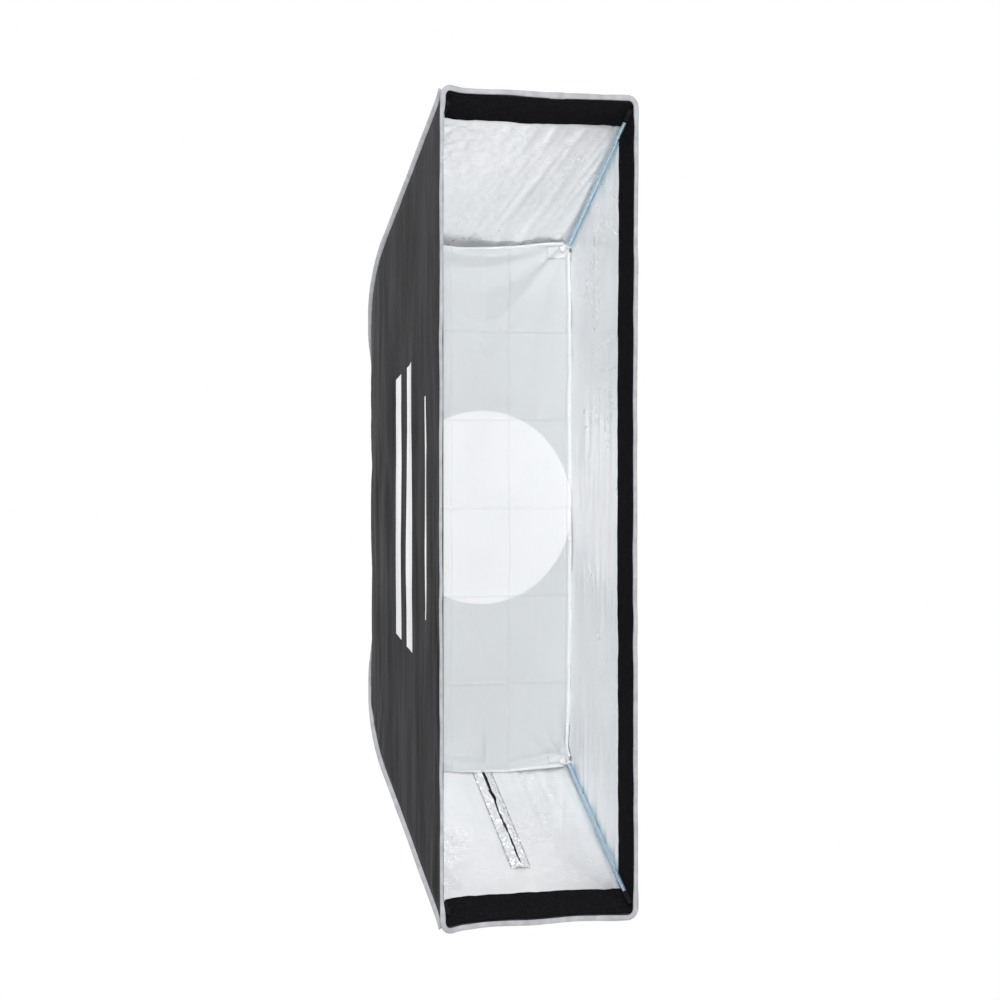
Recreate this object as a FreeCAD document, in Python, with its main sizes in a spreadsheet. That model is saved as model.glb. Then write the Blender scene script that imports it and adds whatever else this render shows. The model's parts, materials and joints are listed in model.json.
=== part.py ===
"""Strip softbox: a cloth light-shaper on four spring rods, with a turning light mount.

Units are millimetres.  The origin is the centre of the light mount's seat.  +Y points
back towards the light, the mouth faces -Y and the long side of the mouth lies along Z.
Right means +X and top means +Z.
"""
import FreeCAD, Part
import math
import os
import Sketcher

Vector = FreeCAD.Vector

DIMENSIONS = {
    # mouth and depth
    "open_width": 300, "open_height": 1200, "open_depth": 454,
    # the seam line that each rod follows: straight, one round bend, short straight tail
    "wall_slope": 39, "seam_lean": 32.2, "seam_straight": 318,
    "seam_bend_radius": 437, "seam_bend_angle": 50.3, "seam_tail": 30,
    # cloth
    "cloth_layer": 1.5, "front_hem": 4, "lip_depth_long": 50, "lip_depth_short": 36,
    "lip_thick": 1.2, "lip_corner_gap": 14, "binding_reach": 6.6, "binding_inset": 1.5,
    "binding_corner": 20, "piping_height": 8, "piping_thick": 2, "piping_start": 0.2,
    "piping_setback": 1,
    # rods, their tips and the corner pockets
    "rod_radius": 3, "rod_inset": 11, "rod_tip_depth": 10, "rod_tip_length": 8,
    "pocket_half": 4.2, "pocket_depth": 4, "pocket_length": 22, "rod_hole_radius": 3.1,
    # light mount: the insert that the light holds
    "bore_radius": 49, "insert_flange_radius": 72, "insert_flange_thick": 4,
    "sleeve_radius": 60, "journal_radius": 66, "sleeve_length": 24,
    "retainer_radius": 71, "retainer_thick": 3, "retainer_screws": 6,
    "retainer_pitch": 63, "retainer_screw_radius": 1.25, "retainer_screw_depth": 8,
    "retainer_head_radius": 2.4, "retainer_head": 1.6,
    "first_angle": 90, "lug_count": 3, "lug_inner": 52, "lug_outer": 57.5, "lug_claw": 64,
    "lug_width": 22, "lug_height": 9, "lug_claw_from": 5.5, "rivet_radius": 1.5,
    "rivet_spacing": 12,
    "rivet_head_radius": 2.8, "rivet_head": 1.4, "rivet_depth": 5, "rivet_pitch": 54.7,
    # speedring: turns on the insert
    "running_gap": 0.05, "end_gap": 0.3, "hub_radius": 78, "ring_radius": 88,
    "ring_step": 19, "ring_front": 30, "recess_radius": 71.4,
    # thumb screws
    "thumb_count": 3, "thumb_radius": 2.5, "thumb_clear": 0.1, "thumb_axis": 11.6,
    "knob_from": 80, "knob_length": 11, "knob_radius": 7, "knob_grip_depth": 8,
    "knob_flutes": 8, "flute_radius": 1.6,
    # rod sockets
    "socket_height": 7.7, "socket_end": 4, "socket_length": 16, "socket_width": 16,
    "nose_radius": 5.5, "nose_from": 8, "nose_length": 17, "socket_screw_at": 6,
    "socket_screw_radius": 2, "socket_screw_depth": 4, "socket_head_radius": 3,
    "socket_head": 2,
    # collar
    "collar_gap": 0.3, "collar_thick": 1.5, "collar_rear": 20, "collar_length": 40,
    # inner diffuser
    "diffuser_depth": 232, "diffuser_width": 295, "diffuser_height": 810,
    "diffuser_thick": 1, "notch_width": 14, "notch_height": 24, "disc_radius": 147,
    "disc_thick": 0.6, "tie_length": 12, "tie_wall": 1.2, "tab_width": 22,
    "tab_height": 12, "tab_thick": 1.2,
    # zip on the bottom wall
    "zip_start": 104, "zip_length": 206, "zip_half_width": 12, "tape_thick": 1,
    "tape_depth": 0.8, "coil_inner": 0.7, "coil_outer": 2.9, "coil_thick": 2.2,
    "coil_depth": 0.2, "coil_end": 3, "facing_inner": 6.5, "facing_outer": 14.5,
    "facing_thick": 0.5, "slider_at": 145, "slider_length": 14, "slider_half": 5,
    "plate_thick": 1.4, "slider_gap": 0.4, "rail_height": 0.6, "rail_width": 1,
    "post_half": 0.5, "post_length": 4, "ear_inner": 2.7, "ear_thick": 1,
    "ear_length": 4, "pin_height": 4.7, "pin_radius": 1, "pin_gap": 0.06,
    "pull_length": 30, "pull_half": 4.5, "neck_half": 2.4, "neck_length": 6,
    "pull_thick": 1.6, "eye_radius": 2.5,
}

# how far a cutting tool stands beyond what it cuts, and how closely edges are matched
TOOL_MARGIN = 1.5
MATCH = 0.05

CORNERS = {
    "right_top": (1, 1), "right_bottom": (1, -1), "left_top": (-1, 1), "left_bottom": (-1, -1),
}

doc = FreeCAD.newDocument("strip_softbox")
sheet = doc.addObject("Spreadsheet::Sheet", "dims")
for row, (alias, number) in enumerate(DIMENSIONS.items(), start=1):
    sheet.set(f"A{row}", alias)
    sheet.set(f"B{row}", str(number))
    sheet.setAlias(f"B{row}", alias)
doc.recompute()

nodes = []


def size(alias):
    """Read one driving dimension."""
    return float(sheet.get(alias))


def evaluate(expression):
    """Work out an expression of the sheet's dimensions."""
    return float(sheet.evalExpression(expression))


def keep(piece, label):
    """Name a finished sub-part and list it for writing."""
    piece.Label = label
    nodes.append(piece)
    return piece


def bind(piece, **expressions):
    """Bind properties to expressions of the sheet's dimensions."""
    for name, expression in expressions.items():
        piece.setExpression(name, expression)
    return piece


def frame(origin, x_axis, y_axis):
    """Placement with the given origin, x axis and y axis."""
    z_axis = x_axis.cross(y_axis)
    return FreeCAD.Placement(FreeCAD.Matrix(
        x_axis.x, y_axis.x, z_axis.x, origin.x,
        x_axis.y, y_axis.y, z_axis.y, origin.y,
        x_axis.z, y_axis.z, z_axis.z, origin.z,
        0, 0, 0, 1))


def along(origin, direction):
    """Placement that turns +Z to a direction."""
    return FreeCAD.Placement(origin, FreeCAD.Rotation(Vector(0, 0, 1), direction))


# ---------------------------------------------------------------- primitives

def box(name, x_low, y_low, z_low, length, width, height):
    """Box whose corner and sizes are expressions."""
    piece = doc.addObject("Part::Box", name)
    bind(piece, Length=length, Width=width, Height=height)
    piece.Placement.Base = Vector(evaluate(x_low), evaluate(y_low), evaluate(z_low))
    return piece


def cylinder(name, radius, height, placement):
    """Cylinder along its placement's own z axis."""
    piece = doc.addObject("Part::Cylinder", name)
    bind(piece, Radius=radius, Height=height)
    piece.Placement = placement
    return piece


def fuse(name, pieces):
    """One solid from touching pieces."""
    joined = doc.addObject("Part::MultiFuse", name)
    joined.Shapes = pieces
    joined.Refine = True
    return joined


def cut(name, base, tools):
    """Base with every tool taken away."""
    piece = doc.addObject("Part::Cut", name)
    piece.Base = base
    piece.Tool = tools[0] if len(tools) == 1 else fuse(name + "_tools", tools)
    return piece


def group(label, pieces):
    """One node of separate solids."""
    compound = doc.addObject("Part::Compound", label)
    compound.Links = pieces
    return keep(compound, label)


def headed_pin(name, shank_radius, shank_length, head_radius, head_length, placement):
    """Screw or rivet: the head's seat is at the placement, the shank runs along its +z."""
    shank = cylinder(name + "_shank", shank_radius, shank_length, FreeCAD.Placement())
    head = cylinder(name + "_head", head_radius, head_length, FreeCAD.Placement())
    head.Placement.Base.z = -evaluate(head_length)
    pin = fuse(name, [shank, head])
    pin.Placement = placement
    return pin


# ---------------------------------------------------------------- sketched bodies

def sketched_body(label):
    """Body whose features are made from sketches."""
    return keep(doc.addObject("PartDesign::Body", label), label)


def origin_feature(body, role):
    """One of the body's own planes or axes."""
    return next(item for item in body.Origin.OriginFeatures if item.Role == role)


def add_sketch(body, role, name):
    """Empty sketch on one of the body's own planes."""
    sketch = body.newObject("Sketcher::SketchObject", name)
    sketch.AttachmentSupport = [(origin_feature(body, role), "")]
    sketch.MapMode = "FlatFace"
    return sketch


def pin_point(sketch, line, axis, expression):
    """Hold the start of a line at a distance from the origin."""
    number = evaluate(expression)
    if number == 0:
        on_axis = -2 if axis == "DistanceX" else -1
        sketch.addConstraint(Sketcher.Constraint("PointOnObject", line, 1, on_axis))
        return
    index = sketch.addConstraint(Sketcher.Constraint(axis, -1, 1, line, 1, number))
    sketch.setExpression(f"Constraints[{index}]", expression)


def outline(sketch, corners):
    """Closed polygon through corners given as pairs of expressions."""
    points = [Vector(evaluate(x), evaluate(y), 0) for x, y in corners]
    ends = points[1:] + points[:1]
    lines = [sketch.addGeometry(Part.LineSegment(*pair), False) for pair in zip(points, ends)]
    for line, following in zip(lines, lines[1:] + lines[:1]):
        sketch.addConstraint(Sketcher.Constraint("Coincident", line, 2, following, 1))
    for line, (x, y) in zip(lines, corners):
        pin_point(sketch, line, "DistanceX", x)
        pin_point(sketch, line, "DistanceY", y)


def circle(sketch, x, y, radius):
    """Circle whose centre and radius are expressions."""
    centre = Vector(evaluate(x), evaluate(y), 0)
    index = sketch.addGeometry(Part.Circle(centre, Vector(0, 0, 1), evaluate(radius)), False)
    for axis, expression in (("DistanceX", x), ("DistanceY", y)):
        if evaluate(expression) == 0:
            on_axis = -2 if axis == "DistanceX" else -1
            sketch.addConstraint(Sketcher.Constraint("PointOnObject", index, 3, on_axis))
        else:
            held = Sketcher.Constraint(axis, -1, 1, index, 3, evaluate(expression))
            sketch.setExpression(f"Constraints[{sketch.addConstraint(held)}]", expression)
    held = Sketcher.Constraint("Radius", index, evaluate(radius))
    sketch.setExpression(f"Constraints[{sketch.addConstraint(held)}]", radius)


def pad(body, sketch, length):
    """Pad a sketch along its normal."""
    feature = body.newObject("PartDesign::Pad", sketch.Name + "_pad")
    feature.Profile = sketch
    bind(feature, Length=length)
    return feature


def revolve(body, sketch):
    """Turn a sketch about its vertical axis."""
    feature = body.newObject("PartDesign::Revolution", sketch.Name + "_turned")
    feature.Profile = sketch
    feature.ReferenceAxis = (sketch, ["V_Axis"])
    feature.Angle = 360
    return feature


def through_pocket(body, sketch):
    """Cut a sketch right through the body, both ways."""
    feature = body.newObject("PartDesign::Pocket", sketch.Name + "_cut")
    feature.Profile = sketch
    feature.Type = "ThroughAll"
    feature.Midplane = True
    return feature


def repeat_round(body, feature, axis_role, count):
    """Repeat a feature evenly round an axis."""
    pattern = body.newObject("PartDesign::PolarPattern", feature.Name + "_round")
    pattern.Originals = [feature]
    pattern.Axis = (origin_feature(body, axis_role), [""])
    pattern.Angle = 360
    bind(pattern, Occurrences=count)
    body.Tip = pattern
    return pattern


def round_frame(index, count):
    """Placement turned about Y: its own x axis points outwards."""
    angle = size("first_angle") + 360.0 * index / count
    return FreeCAD.Placement(Vector(0, 0, 0), FreeCAD.Rotation(Vector(0, 1, 0), angle))


def turned_ring(label, corners, front):
    """Ring about Y from a profile of radius against distance behind its front plane."""
    body = sketched_body(label)
    body.Placement.Rotation = round_frame(0, 1).Rotation
    sketch = add_sketch(body, "XY_Plane", label + "_profile")
    outline(sketch, corners)
    revolve(body, sketch)
    bind(body, **{"Placement.Base.y": front})
    return body


# ---------------------------------------------------------------- seam lines

def slope_directions(side_z):
    """Unit vectors of the sloped wall: back along it, and square to it inwards."""
    angle = math.radians(size("wall_slope"))
    back = Vector(0, math.cos(angle), -side_z * math.sin(angle))
    inward = Vector(0, -math.sin(angle), -side_z * math.cos(angle))
    return back, inward


def seam_axes(side_x, side_z):
    """The seam's start and the two directions of its plane: along it and inwards."""
    start = Vector(side_x * size("open_width") / 2, -size("open_depth"),
                   side_z * size("open_height") / 2)
    back, square = slope_directions(side_z)
    lean = math.radians(size("seam_lean"))
    inward = Vector(-side_x * math.sin(lean), 0, 0) + square * math.cos(lean)
    return start, back, inward


def seam_point(corner, inset, depth=None, turn=None, tail=0):
    """Point on a seam line moved in by inset: at a depth, or at a turn of its bend."""
    start, back, inward = seam_axes(*CORNERS[corner])
    if depth is not None:
        run = (depth - inset * inward.y) / back.y
        return start + back * run + inward * inset
    angle = math.radians(size("seam_bend_angle")) * turn
    radius = size("seam_bend_radius")
    centre = start + back * size("seam_straight") + inward * radius
    outward = back * math.sin(angle) - inward * math.cos(angle)
    along_end = back * math.cos(angle) + inward * math.sin(angle)
    return centre + outward * (radius - inset) + along_end * tail


def seam_edges(corner, inset, depth):
    """The seam line's straight, bend and tail, moved in by inset, from a depth on."""
    first = seam_point(corner, inset, depth=depth)
    bend = [seam_point(corner, inset, turn=turn) for turn in (0, 0.5, 1)]
    last = seam_point(corner, inset, turn=1, tail=size("seam_tail"))
    return [
        Part.LineSegment(first, bend[0]).toShape(),
        Part.Arc(*bend).toShape(),
        Part.LineSegment(bend[2], last).toShape(),
    ]


def ruled_faces(first_edges, second_edges):
    """Ruled faces between two rows of edges."""
    return [Part.makeRuledSurface(*pair) for pair in zip(first_edges, second_edges)]


def end_face(points):
    """Flat face through points."""
    return Part.Face(Part.makePolygon(points + points[:1]))


def closed_solid(faces):
    """Solid inside a closed set of faces."""
    solid = Part.Solid(Part.Shell(Part.makeShell(faces).Faces))
    if solid.Volume < 0:
        solid.reverse()
    return solid


def skinned_solid(rows):
    """Solid with ruled faces between four rows of edges, and a flat face at each end."""
    faces = []
    for row, following in zip(rows, rows[1:] + rows[:1]):
        faces += ruled_faces(row, following)
    for vertex in (0, -1):
        faces.append(end_face([row[vertex].Vertexes[vertex].Point for row in rows]))
    return closed_solid(faces)


def wall_solid(first_corner, second_corner, outer, inner, depth):
    """Sheet of cloth between two seam lines, from the outer inset to the inner inset."""
    return skinned_solid([
        seam_edges(first_corner, outer, depth), seam_edges(second_corner, outer, depth),
        seam_edges(second_corner, inner, depth), seam_edges(first_corner, inner, depth),
    ])


def tent_solid(depth):
    """Everything inside the outer cloth."""
    names = ["right_top", "left_top", "left_bottom", "right_bottom"]
    return skinned_solid([seam_edges(name, 0, depth) for name in names])


def shaped(label, shape):
    """Sub-part whose shape is worked out from the seam lines."""
    piece = doc.addObject("Part::Feature", label)
    piece.Shape = shape
    return keep(piece, label)


def rear_hole():
    """Round hole that the collar fills, through every cloth layer."""
    radius = size("ring_radius") + size("collar_gap") + size("collar_thick") + size("running_gap")
    return Part.makeCylinder(radius, size("open_depth"), Vector(0, -size("open_depth") / 3, 0),
                             Vector(0, 1, 0))


# ---------------------------------------------------------------- light mount

def make_insert():
    """Sleeve that the light holds: rear flange, journal, rivet and screw holes."""
    body = turned_ring("insert_sleeve", [
        ("dims.sleeve_radius", "0"),
        ("dims.journal_radius", "0"),
        ("dims.journal_radius", "dims.sleeve_length - dims.insert_flange_thick"),
        ("dims.insert_flange_radius", "dims.sleeve_length - dims.insert_flange_thick"),
        ("dims.insert_flange_radius", "dims.sleeve_length"),
        ("dims.bore_radius", "dims.sleeve_length"),
        ("dims.bore_radius", "dims.sleeve_length - dims.insert_flange_thick"),
        ("dims.sleeve_radius", "dims.sleeve_length - dims.insert_flange_thick"),
    ], "-dims.sleeve_length")
    tapped = add_sketch(body, "XZ_Plane", "insert_tapped_hole")
    circle(tapped, "dims.retainer_pitch", "0", "dims.retainer_screw_radius")
    holes = body.newObject("PartDesign::Pocket", "insert_tapped_hole_cut")
    holes.Profile = tapped
    bind(holes, Length="dims.retainer_screw_depth")
    repeat_round(body, holes, "Y_Axis", "dims.retainer_screws")
    for side in (0, 1):
        rivet = add_sketch(body, "XZ_Plane", f"insert_rivet_hole_{side}")
        offset = "dims.rivet_spacing / 2"
        circle(rivet, "dims.rivet_pitch", offset if side else "-" + offset, "dims.rivet_radius")
        hole = body.newObject("PartDesign::Pocket", f"insert_rivet_hole_{side}_cut")
        hole.Profile = rivet
        hole.Type = "ThroughAll"
        repeat_round(body, hole, "Y_Axis", "dims.lug_count")
    return body


def make_lugs():
    """Bayonet lugs: a post with an outward claw, and two rivets in each."""
    count = int(size("lug_count"))
    rivets = []
    for index in range(count):
        name = f"bayonet_lug_{index + 1}"
        turn = round_frame(index, count)
        post = box(name + "_post", "dims.lug_inner", "0", "-dims.lug_width / 2",
                   "dims.lug_outer - dims.lug_inner", "dims.lug_height", "dims.lug_width")
        claw = box(name + "_claw", "dims.lug_outer", "dims.lug_claw_from", "-dims.lug_width / 2",
                   "dims.lug_claw - dims.lug_outer", "dims.lug_height - dims.lug_claw_from",
                   "dims.lug_width")
        holes = []
        for side in (-1, 1):
            place = Vector(size("rivet_pitch"), 0, side * size("rivet_spacing") / 2)
            holes.append(cylinder(f"{name}_hole_{side + 1}", "dims.rivet_radius",
                                  "dims.rivet_depth", along(place, Vector(0, 1, 0))))
            seat = place - Vector(0, size("insert_flange_thick"), 0)
            rivets.append(headed_pin(
                f"lug_rivet_{index}_{side + 1}", "dims.rivet_radius",
                "dims.insert_flange_thick + dims.rivet_depth", "dims.rivet_head_radius",
                "dims.rivet_head", turn.multiply(along(seat, Vector(0, 1, 0)))))
        lug = cut(name, fuse(name + "_body", [post, claw]), holes)
        lug.Placement = turn
        keep(lug, name)
    group("lug_rivets", rivets)


def make_retainer():
    """Ring screwed to the sleeve's front, which keeps the speedring on its journal."""
    body = turned_ring("retaining_ring", [
        ("dims.sleeve_radius", "0"),
        ("dims.retainer_radius", "0"),
        ("dims.retainer_radius", "dims.retainer_thick"),
        ("dims.sleeve_radius", "dims.retainer_thick"),
    ], "-dims.sleeve_length - dims.retainer_thick")
    sketch = add_sketch(body, "XZ_Plane", "retainer_hole")
    circle(sketch, "dims.retainer_pitch", "0", "dims.retainer_screw_radius")
    repeat_round(body, through_pocket(body, sketch), "Y_Axis", "dims.retainer_screws")
    count = int(size("retainer_screws"))
    front = -size("sleeve_length") - size("retainer_thick")
    screws = []
    for index in range(count):
        seat = along(Vector(size("retainer_pitch"), front, 0), Vector(0, 1, 0))
        screws.append(headed_pin(
            f"retainer_screw_{index}", "dims.retainer_screw_radius",
            "dims.retainer_thick + dims.retainer_screw_depth", "dims.retainer_head_radius",
            "dims.retainer_head", round_frame(index, count).multiply(seat)))
    group("retainer_screws", screws)


# ---------------------------------------------------------------- speedring

def rod_end(corner):
    """Inner end of a rod and its direction outwards."""
    end = seam_point(corner, size("rod_inset"), turn=1, tail=size("seam_tail"))
    outwards = seam_point(corner, size("rod_inset"), turn=1) - end
    return end, outwards.normalize()


def socket_frame(corner):
    """Placement at a rod's inner end: x outwards in the ring's plane, y backwards."""
    end, outwards = rod_end(corner)
    flat = Vector(outwards.x, 0, outwards.z).normalize()
    return frame(end, flat, Vector(0, 1, 0))


def socket_screw_seat(corner):
    """Point on the flange's rear face over the socket's screw."""
    place = socket_frame(corner).multVec(Vector(size("socket_screw_at"), 0, 0))
    return Vector(place.x, -size("ring_step"), place.z)


def make_speedring():
    """Ring that carries the rods: hub with screw holes, flange with socket holes."""
    profile = turned_ring("speedring", [
        ("dims.recess_radius", "0"),
        ("dims.ring_radius", "0"),
        ("dims.ring_radius", "dims.ring_front - dims.ring_step"),
        ("dims.hub_radius", "dims.ring_front - dims.ring_step"),
        ("dims.hub_radius", "dims.ring_front - dims.insert_flange_thick - dims.end_gap"),
        ("dims.journal_radius + dims.running_gap",
         "dims.ring_front - dims.insert_flange_thick - dims.end_gap"),
        ("dims.journal_radius + dims.running_gap",
         "dims.ring_front - dims.sleeve_length + dims.end_gap"),
        ("dims.recess_radius", "dims.ring_front - dims.sleeve_length + dims.end_gap"),
    ], "-dims.ring_front")
    nodes.remove(profile)
    profile.Label = "speedring_turned"
    tools = []
    for index in range(int(size("thumb_count"))):
        start = thumb_frame(index).multiply(FreeCAD.Placement(
            Vector(0, 0, size("journal_radius") - TOOL_MARGIN), FreeCAD.Rotation()))
        tools.append(cylinder(f"thumb_hole_{index}", "dims.thumb_radius + dims.running_gap",
                              f"dims.hub_radius - dims.journal_radius + {2 * TOOL_MARGIN}",
                              start))
    for corner in CORNERS:
        tools.append(cylinder("screw_hole_" + corner, "dims.socket_screw_radius",
                              "dims.ring_front - dims.ring_step",
                              along(socket_screw_seat(corner), Vector(0, -1, 0))))
    keep(cut("speedring", profile, tools), "speedring")


def make_sockets():
    """Rod sockets on the flange's front face, each with one screw from behind."""
    screws = []
    for corner in CORNERS:
        name = "rod_socket_" + corner
        end, outwards = rod_end(corner)
        turn = socket_frame(corner)
        local_axis = turn.inverse().Rotation.multVec(outwards)
        flange_gap = -end.y - size("ring_front")
        block = box(name + "_block", "-dims.socket_end", "-dims.socket_height",
                    "-dims.socket_width / 2", "dims.socket_length",
                    f"dims.socket_height + {flange_gap}", "dims.socket_width")
        nose = cylinder(name + "_nose", "dims.nose_radius", "dims.nose_length",
                        along(local_axis * size("nose_from"), local_axis))
        bore = cylinder(name + "_bore", "dims.rod_hole_radius",
                        "dims.nose_from + 2 * dims.nose_length",
                        along(Vector(0, 0, 0), local_axis))
        tapped = cylinder(name + "_tapped", "dims.socket_screw_radius", "dims.socket_screw_depth",
                          along(Vector(size("socket_screw_at"), flange_gap, 0),
                                Vector(0, -1, 0)))
        socket = cut(name, fuse(name + "_body", [block, nose]), [bore, tapped])
        socket.Placement = turn
        keep(socket, name)
        screws.append(headed_pin(
            "socket_screw_" + corner, "dims.socket_screw_radius",
            "dims.ring_front - dims.ring_step + dims.socket_screw_depth",
            "dims.socket_head_radius", "dims.socket_head",
            along(socket_screw_seat(corner), Vector(0, -1, 0))))
    group("socket_screws", screws)


def thumb_frame(index):
    """Placement on a thumb screw's axis: its own z axis points outwards from the hub."""
    angle = math.radians(size("first_angle") + 360.0 * index / size("thumb_count"))
    outwards = Vector(math.cos(angle), 0, math.sin(angle))
    return frame(Vector(0, -size("thumb_axis"), 0), Vector(0, 1, 0).cross(outwards),
                 Vector(0, 1, 0))


def make_thumb_screws():
    """Thumb screws that lock the speedring on the insert: a stud and a fluted knob."""
    for index in range(int(size("thumb_count"))):
        turn = thumb_frame(index)
        tip = turn.multiply(FreeCAD.Placement(
            Vector(0, 0, size("journal_radius") + size("thumb_clear")), FreeCAD.Rotation()))
        stud = cylinder(f"thumb_stud_{index + 1}", "dims.thumb_radius",
                        "dims.knob_from + dims.knob_grip_depth - dims.journal_radius"
                        " - dims.thumb_clear", tip)
        keep(stud, stud.Name)
        knob = sketched_body(f"thumb_knob_{index + 1}")
        disc = add_sketch(knob, "XY_Plane", f"knob_outline_{index}")
        circle(disc, "0", "0", "dims.knob_radius")
        pad(knob, disc, "dims.knob_length")
        hole = add_sketch(knob, "XY_Plane", f"knob_hole_{index}")
        circle(hole, "0", "0", "dims.thumb_radius")
        bored = knob.newObject("PartDesign::Pocket", f"knob_hole_{index}_cut")
        bored.Profile = hole
        bored.Reversed = True
        bind(bored, Length="dims.knob_grip_depth")
        flute = add_sketch(knob, "XY_Plane", f"knob_flute_{index}")
        circle(flute, "dims.knob_radius + dims.flute_radius / 2", "0", "dims.flute_radius")
        repeat_round(knob, through_pocket(knob, flute), "Z_Axis", "dims.knob_flutes")
        knob.Placement = turn.multiply(FreeCAD.Placement(
            Vector(0, 0, size("knob_from")), FreeCAD.Rotation()))


# ---------------------------------------------------------------- rods

def make_rods():
    """Spring rods, their tips and the pockets that hold the tips."""
    inset = size("rod_inset")
    tip_end = size("rod_tip_depth") + size("rod_tip_length")
    tips = []
    for corner in CORNERS:
        name = "rod_" + corner
        path = doc.addObject("Part::Feature", name + "_path")
        path.Shape = Part.Wire(seam_edges(corner, inset, tip_end))
        back = slope_directions(CORNERS[corner][1])[0]
        section = doc.addObject("Part::Circle", name + "_section")
        bind(section, Radius="dims.rod_radius")
        section.Placement = along(seam_point(corner, inset, depth=tip_end), back)
        rod = doc.addObject("Part::Sweep", name)
        rod.Sections = [section]
        rod.Spine = (path, ["Edge1", "Edge2", "Edge3"])
        rod.Solid = True
        rod.Frenet = False
        keep(rod, name)
        tip_start = seam_point(corner, inset, depth=size("rod_tip_depth"))
        length = (seam_point(corner, inset, depth=tip_end) - tip_start).Length
        tip = cylinder("rod_tip_" + corner, "dims.rod_radius", str(length), along(tip_start, back))
        tips.append(tip)
        make_pocket(corner)
    group("rod_tips", tips)


def make_pocket(corner):
    """Square sleeve with a closed front end round a rod's tip."""
    name = "corner_pocket_" + corner
    back = slope_directions(CORNERS[corner][1])[0]
    front = seam_point(corner, size("rod_inset"), depth=size("pocket_depth"))
    sleeve = box(name + "_sleeve", "0", "-dims.pocket_half", "-dims.pocket_half",
                 "dims.pocket_length", "2 * dims.pocket_half", "2 * dims.pocket_half")
    mouth = seam_point(corner, size("rod_inset"), depth=size("rod_tip_depth")) - front
    hole = cylinder(name + "_hole", "dims.rod_hole_radius", "dims.pocket_length",
                    along(Vector(mouth.Length, 0, 0), Vector(1, 0, 0)))
    pocket = cut(name, sleeve, [hole])
    pocket.Placement = frame(front, back, Vector(1, 0, 0))
    keep(pocket, name)


# ---------------------------------------------------------------- cloth

WALLS = {
    "top": ("right_top", "left_top"), "bottom": ("left_bottom", "right_bottom"),
    "left": ("left_top", "left_bottom"), "right": ("right_bottom", "right_top"),
}


def zip_frame():
    """Placement on the bottom wall's outer face: x back along the zip, z outwards."""
    back = slope_directions(-1)[0]
    start = Vector(0, -size("open_depth"), -size("open_height") / 2)
    return frame(start + back * size("zip_start"), back, Vector(1, 0, 0))


def zip_slot():
    """Slot for the zip through the bottom wall's layers."""
    half = size("zip_half_width")
    slot = Part.makeBox(size("zip_length"), 2 * half, 2 * half, Vector(0, -half, -half))
    slot.Placement = zip_frame()
    return slot


def make_walls():
    """Outer cloth and silver lining of the four walls."""
    layer = size("cloth_layer")
    hem = size("front_hem")
    for side, corners in WALLS.items():
        for label, outer in (("outer_panel_", 0), ("silver_lining_", layer)):
            wall = wall_solid(*corners, outer, outer + layer, hem).cut(rear_hole())
            if side == "bottom":
                wall = wall.cut(zip_slot())
            shaped(label + side, wall.Solids[0])


def lip_solid(side, depth):
    """Flat strip of loop tape inside the mouth, clear of the corners."""
    layers = 2 * size("cloth_layer")
    gap = size("lip_corner_gap")
    rows = []
    for inset in (layers, layers + size("lip_thick")):
        for corner in WALLS[side]:
            other = WALLS[side][1 - WALLS[side].index(corner)]
            ends = []
            for place in (size("front_hem"), depth):
                point = seam_point(corner, inset, depth=place)
                inwards = (seam_point(other, inset, depth=place) - point).normalize()
                ends.append(point + inwards * gap)
            rows.append(ends)
    rows = [rows[0], rows[1], rows[3], rows[2]]
    faces = [end_face([row[end] for row in rows]) for end in (0, 1)]
    for row, following in zip(rows, rows[1:] + rows[:1]):
        faces.append(end_face([row[0], row[1], following[1], following[0]]))
    return closed_solid(faces)


def make_lips():
    """Loop-tape strips round the inside of the mouth."""
    depths = {
        "top": "lip_depth_short", "bottom": "lip_depth_short",
        "left": "lip_depth_long", "right": "lip_depth_long",
    }
    for side, alias in depths.items():
        shaped("lip_strip_" + side, lip_solid(side, size(alias)))


def make_front_binding():
    """Folded tape round the mouth's edge."""
    body = sketched_body("front_binding")
    sketch = add_sketch(body, "XZ_Plane", "front_binding_outline")
    wide = "dims.open_width + 2 * dims.binding_reach"
    high = "dims.open_height + 2 * dims.binding_reach"
    edge = "dims.binding_reach + dims.binding_inset"
    outline(sketch, [("0", "0"), (wide, "0"), (wide, high), ("0", high)])
    outline(sketch, [
        (edge, edge), (f"{wide} - ({edge})", edge),
        (f"{wide} - ({edge})", f"{high} - ({edge})"), (edge, f"{high} - ({edge})"),
    ])
    padded = pad(body, sketch, "dims.front_hem")
    doc.recompute()
    rounds = [
        f"Edge{index}" for index, edge in enumerate(padded.Shape.Edges, start=1)
        if abs(edge.Length - size("front_hem")) < MATCH
        and min(abs(edge.CenterOfMass.x - x) for x in (0, evaluate(wide))) < MATCH
    ]
    fillet = body.newObject("PartDesign::Fillet", "front_binding_corners")
    fillet.Base = (padded, rounds)
    bind(fillet, Radius="dims.binding_corner")
    body.Tip = fillet
    bind(body, **{
        "Placement.Base.x": "-dims.open_width / 2 - dims.binding_reach",
        "Placement.Base.y": "-dims.open_depth + dims.front_hem",
        "Placement.Base.z": "-dims.open_height / 2 - dims.binding_reach",
    })


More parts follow.
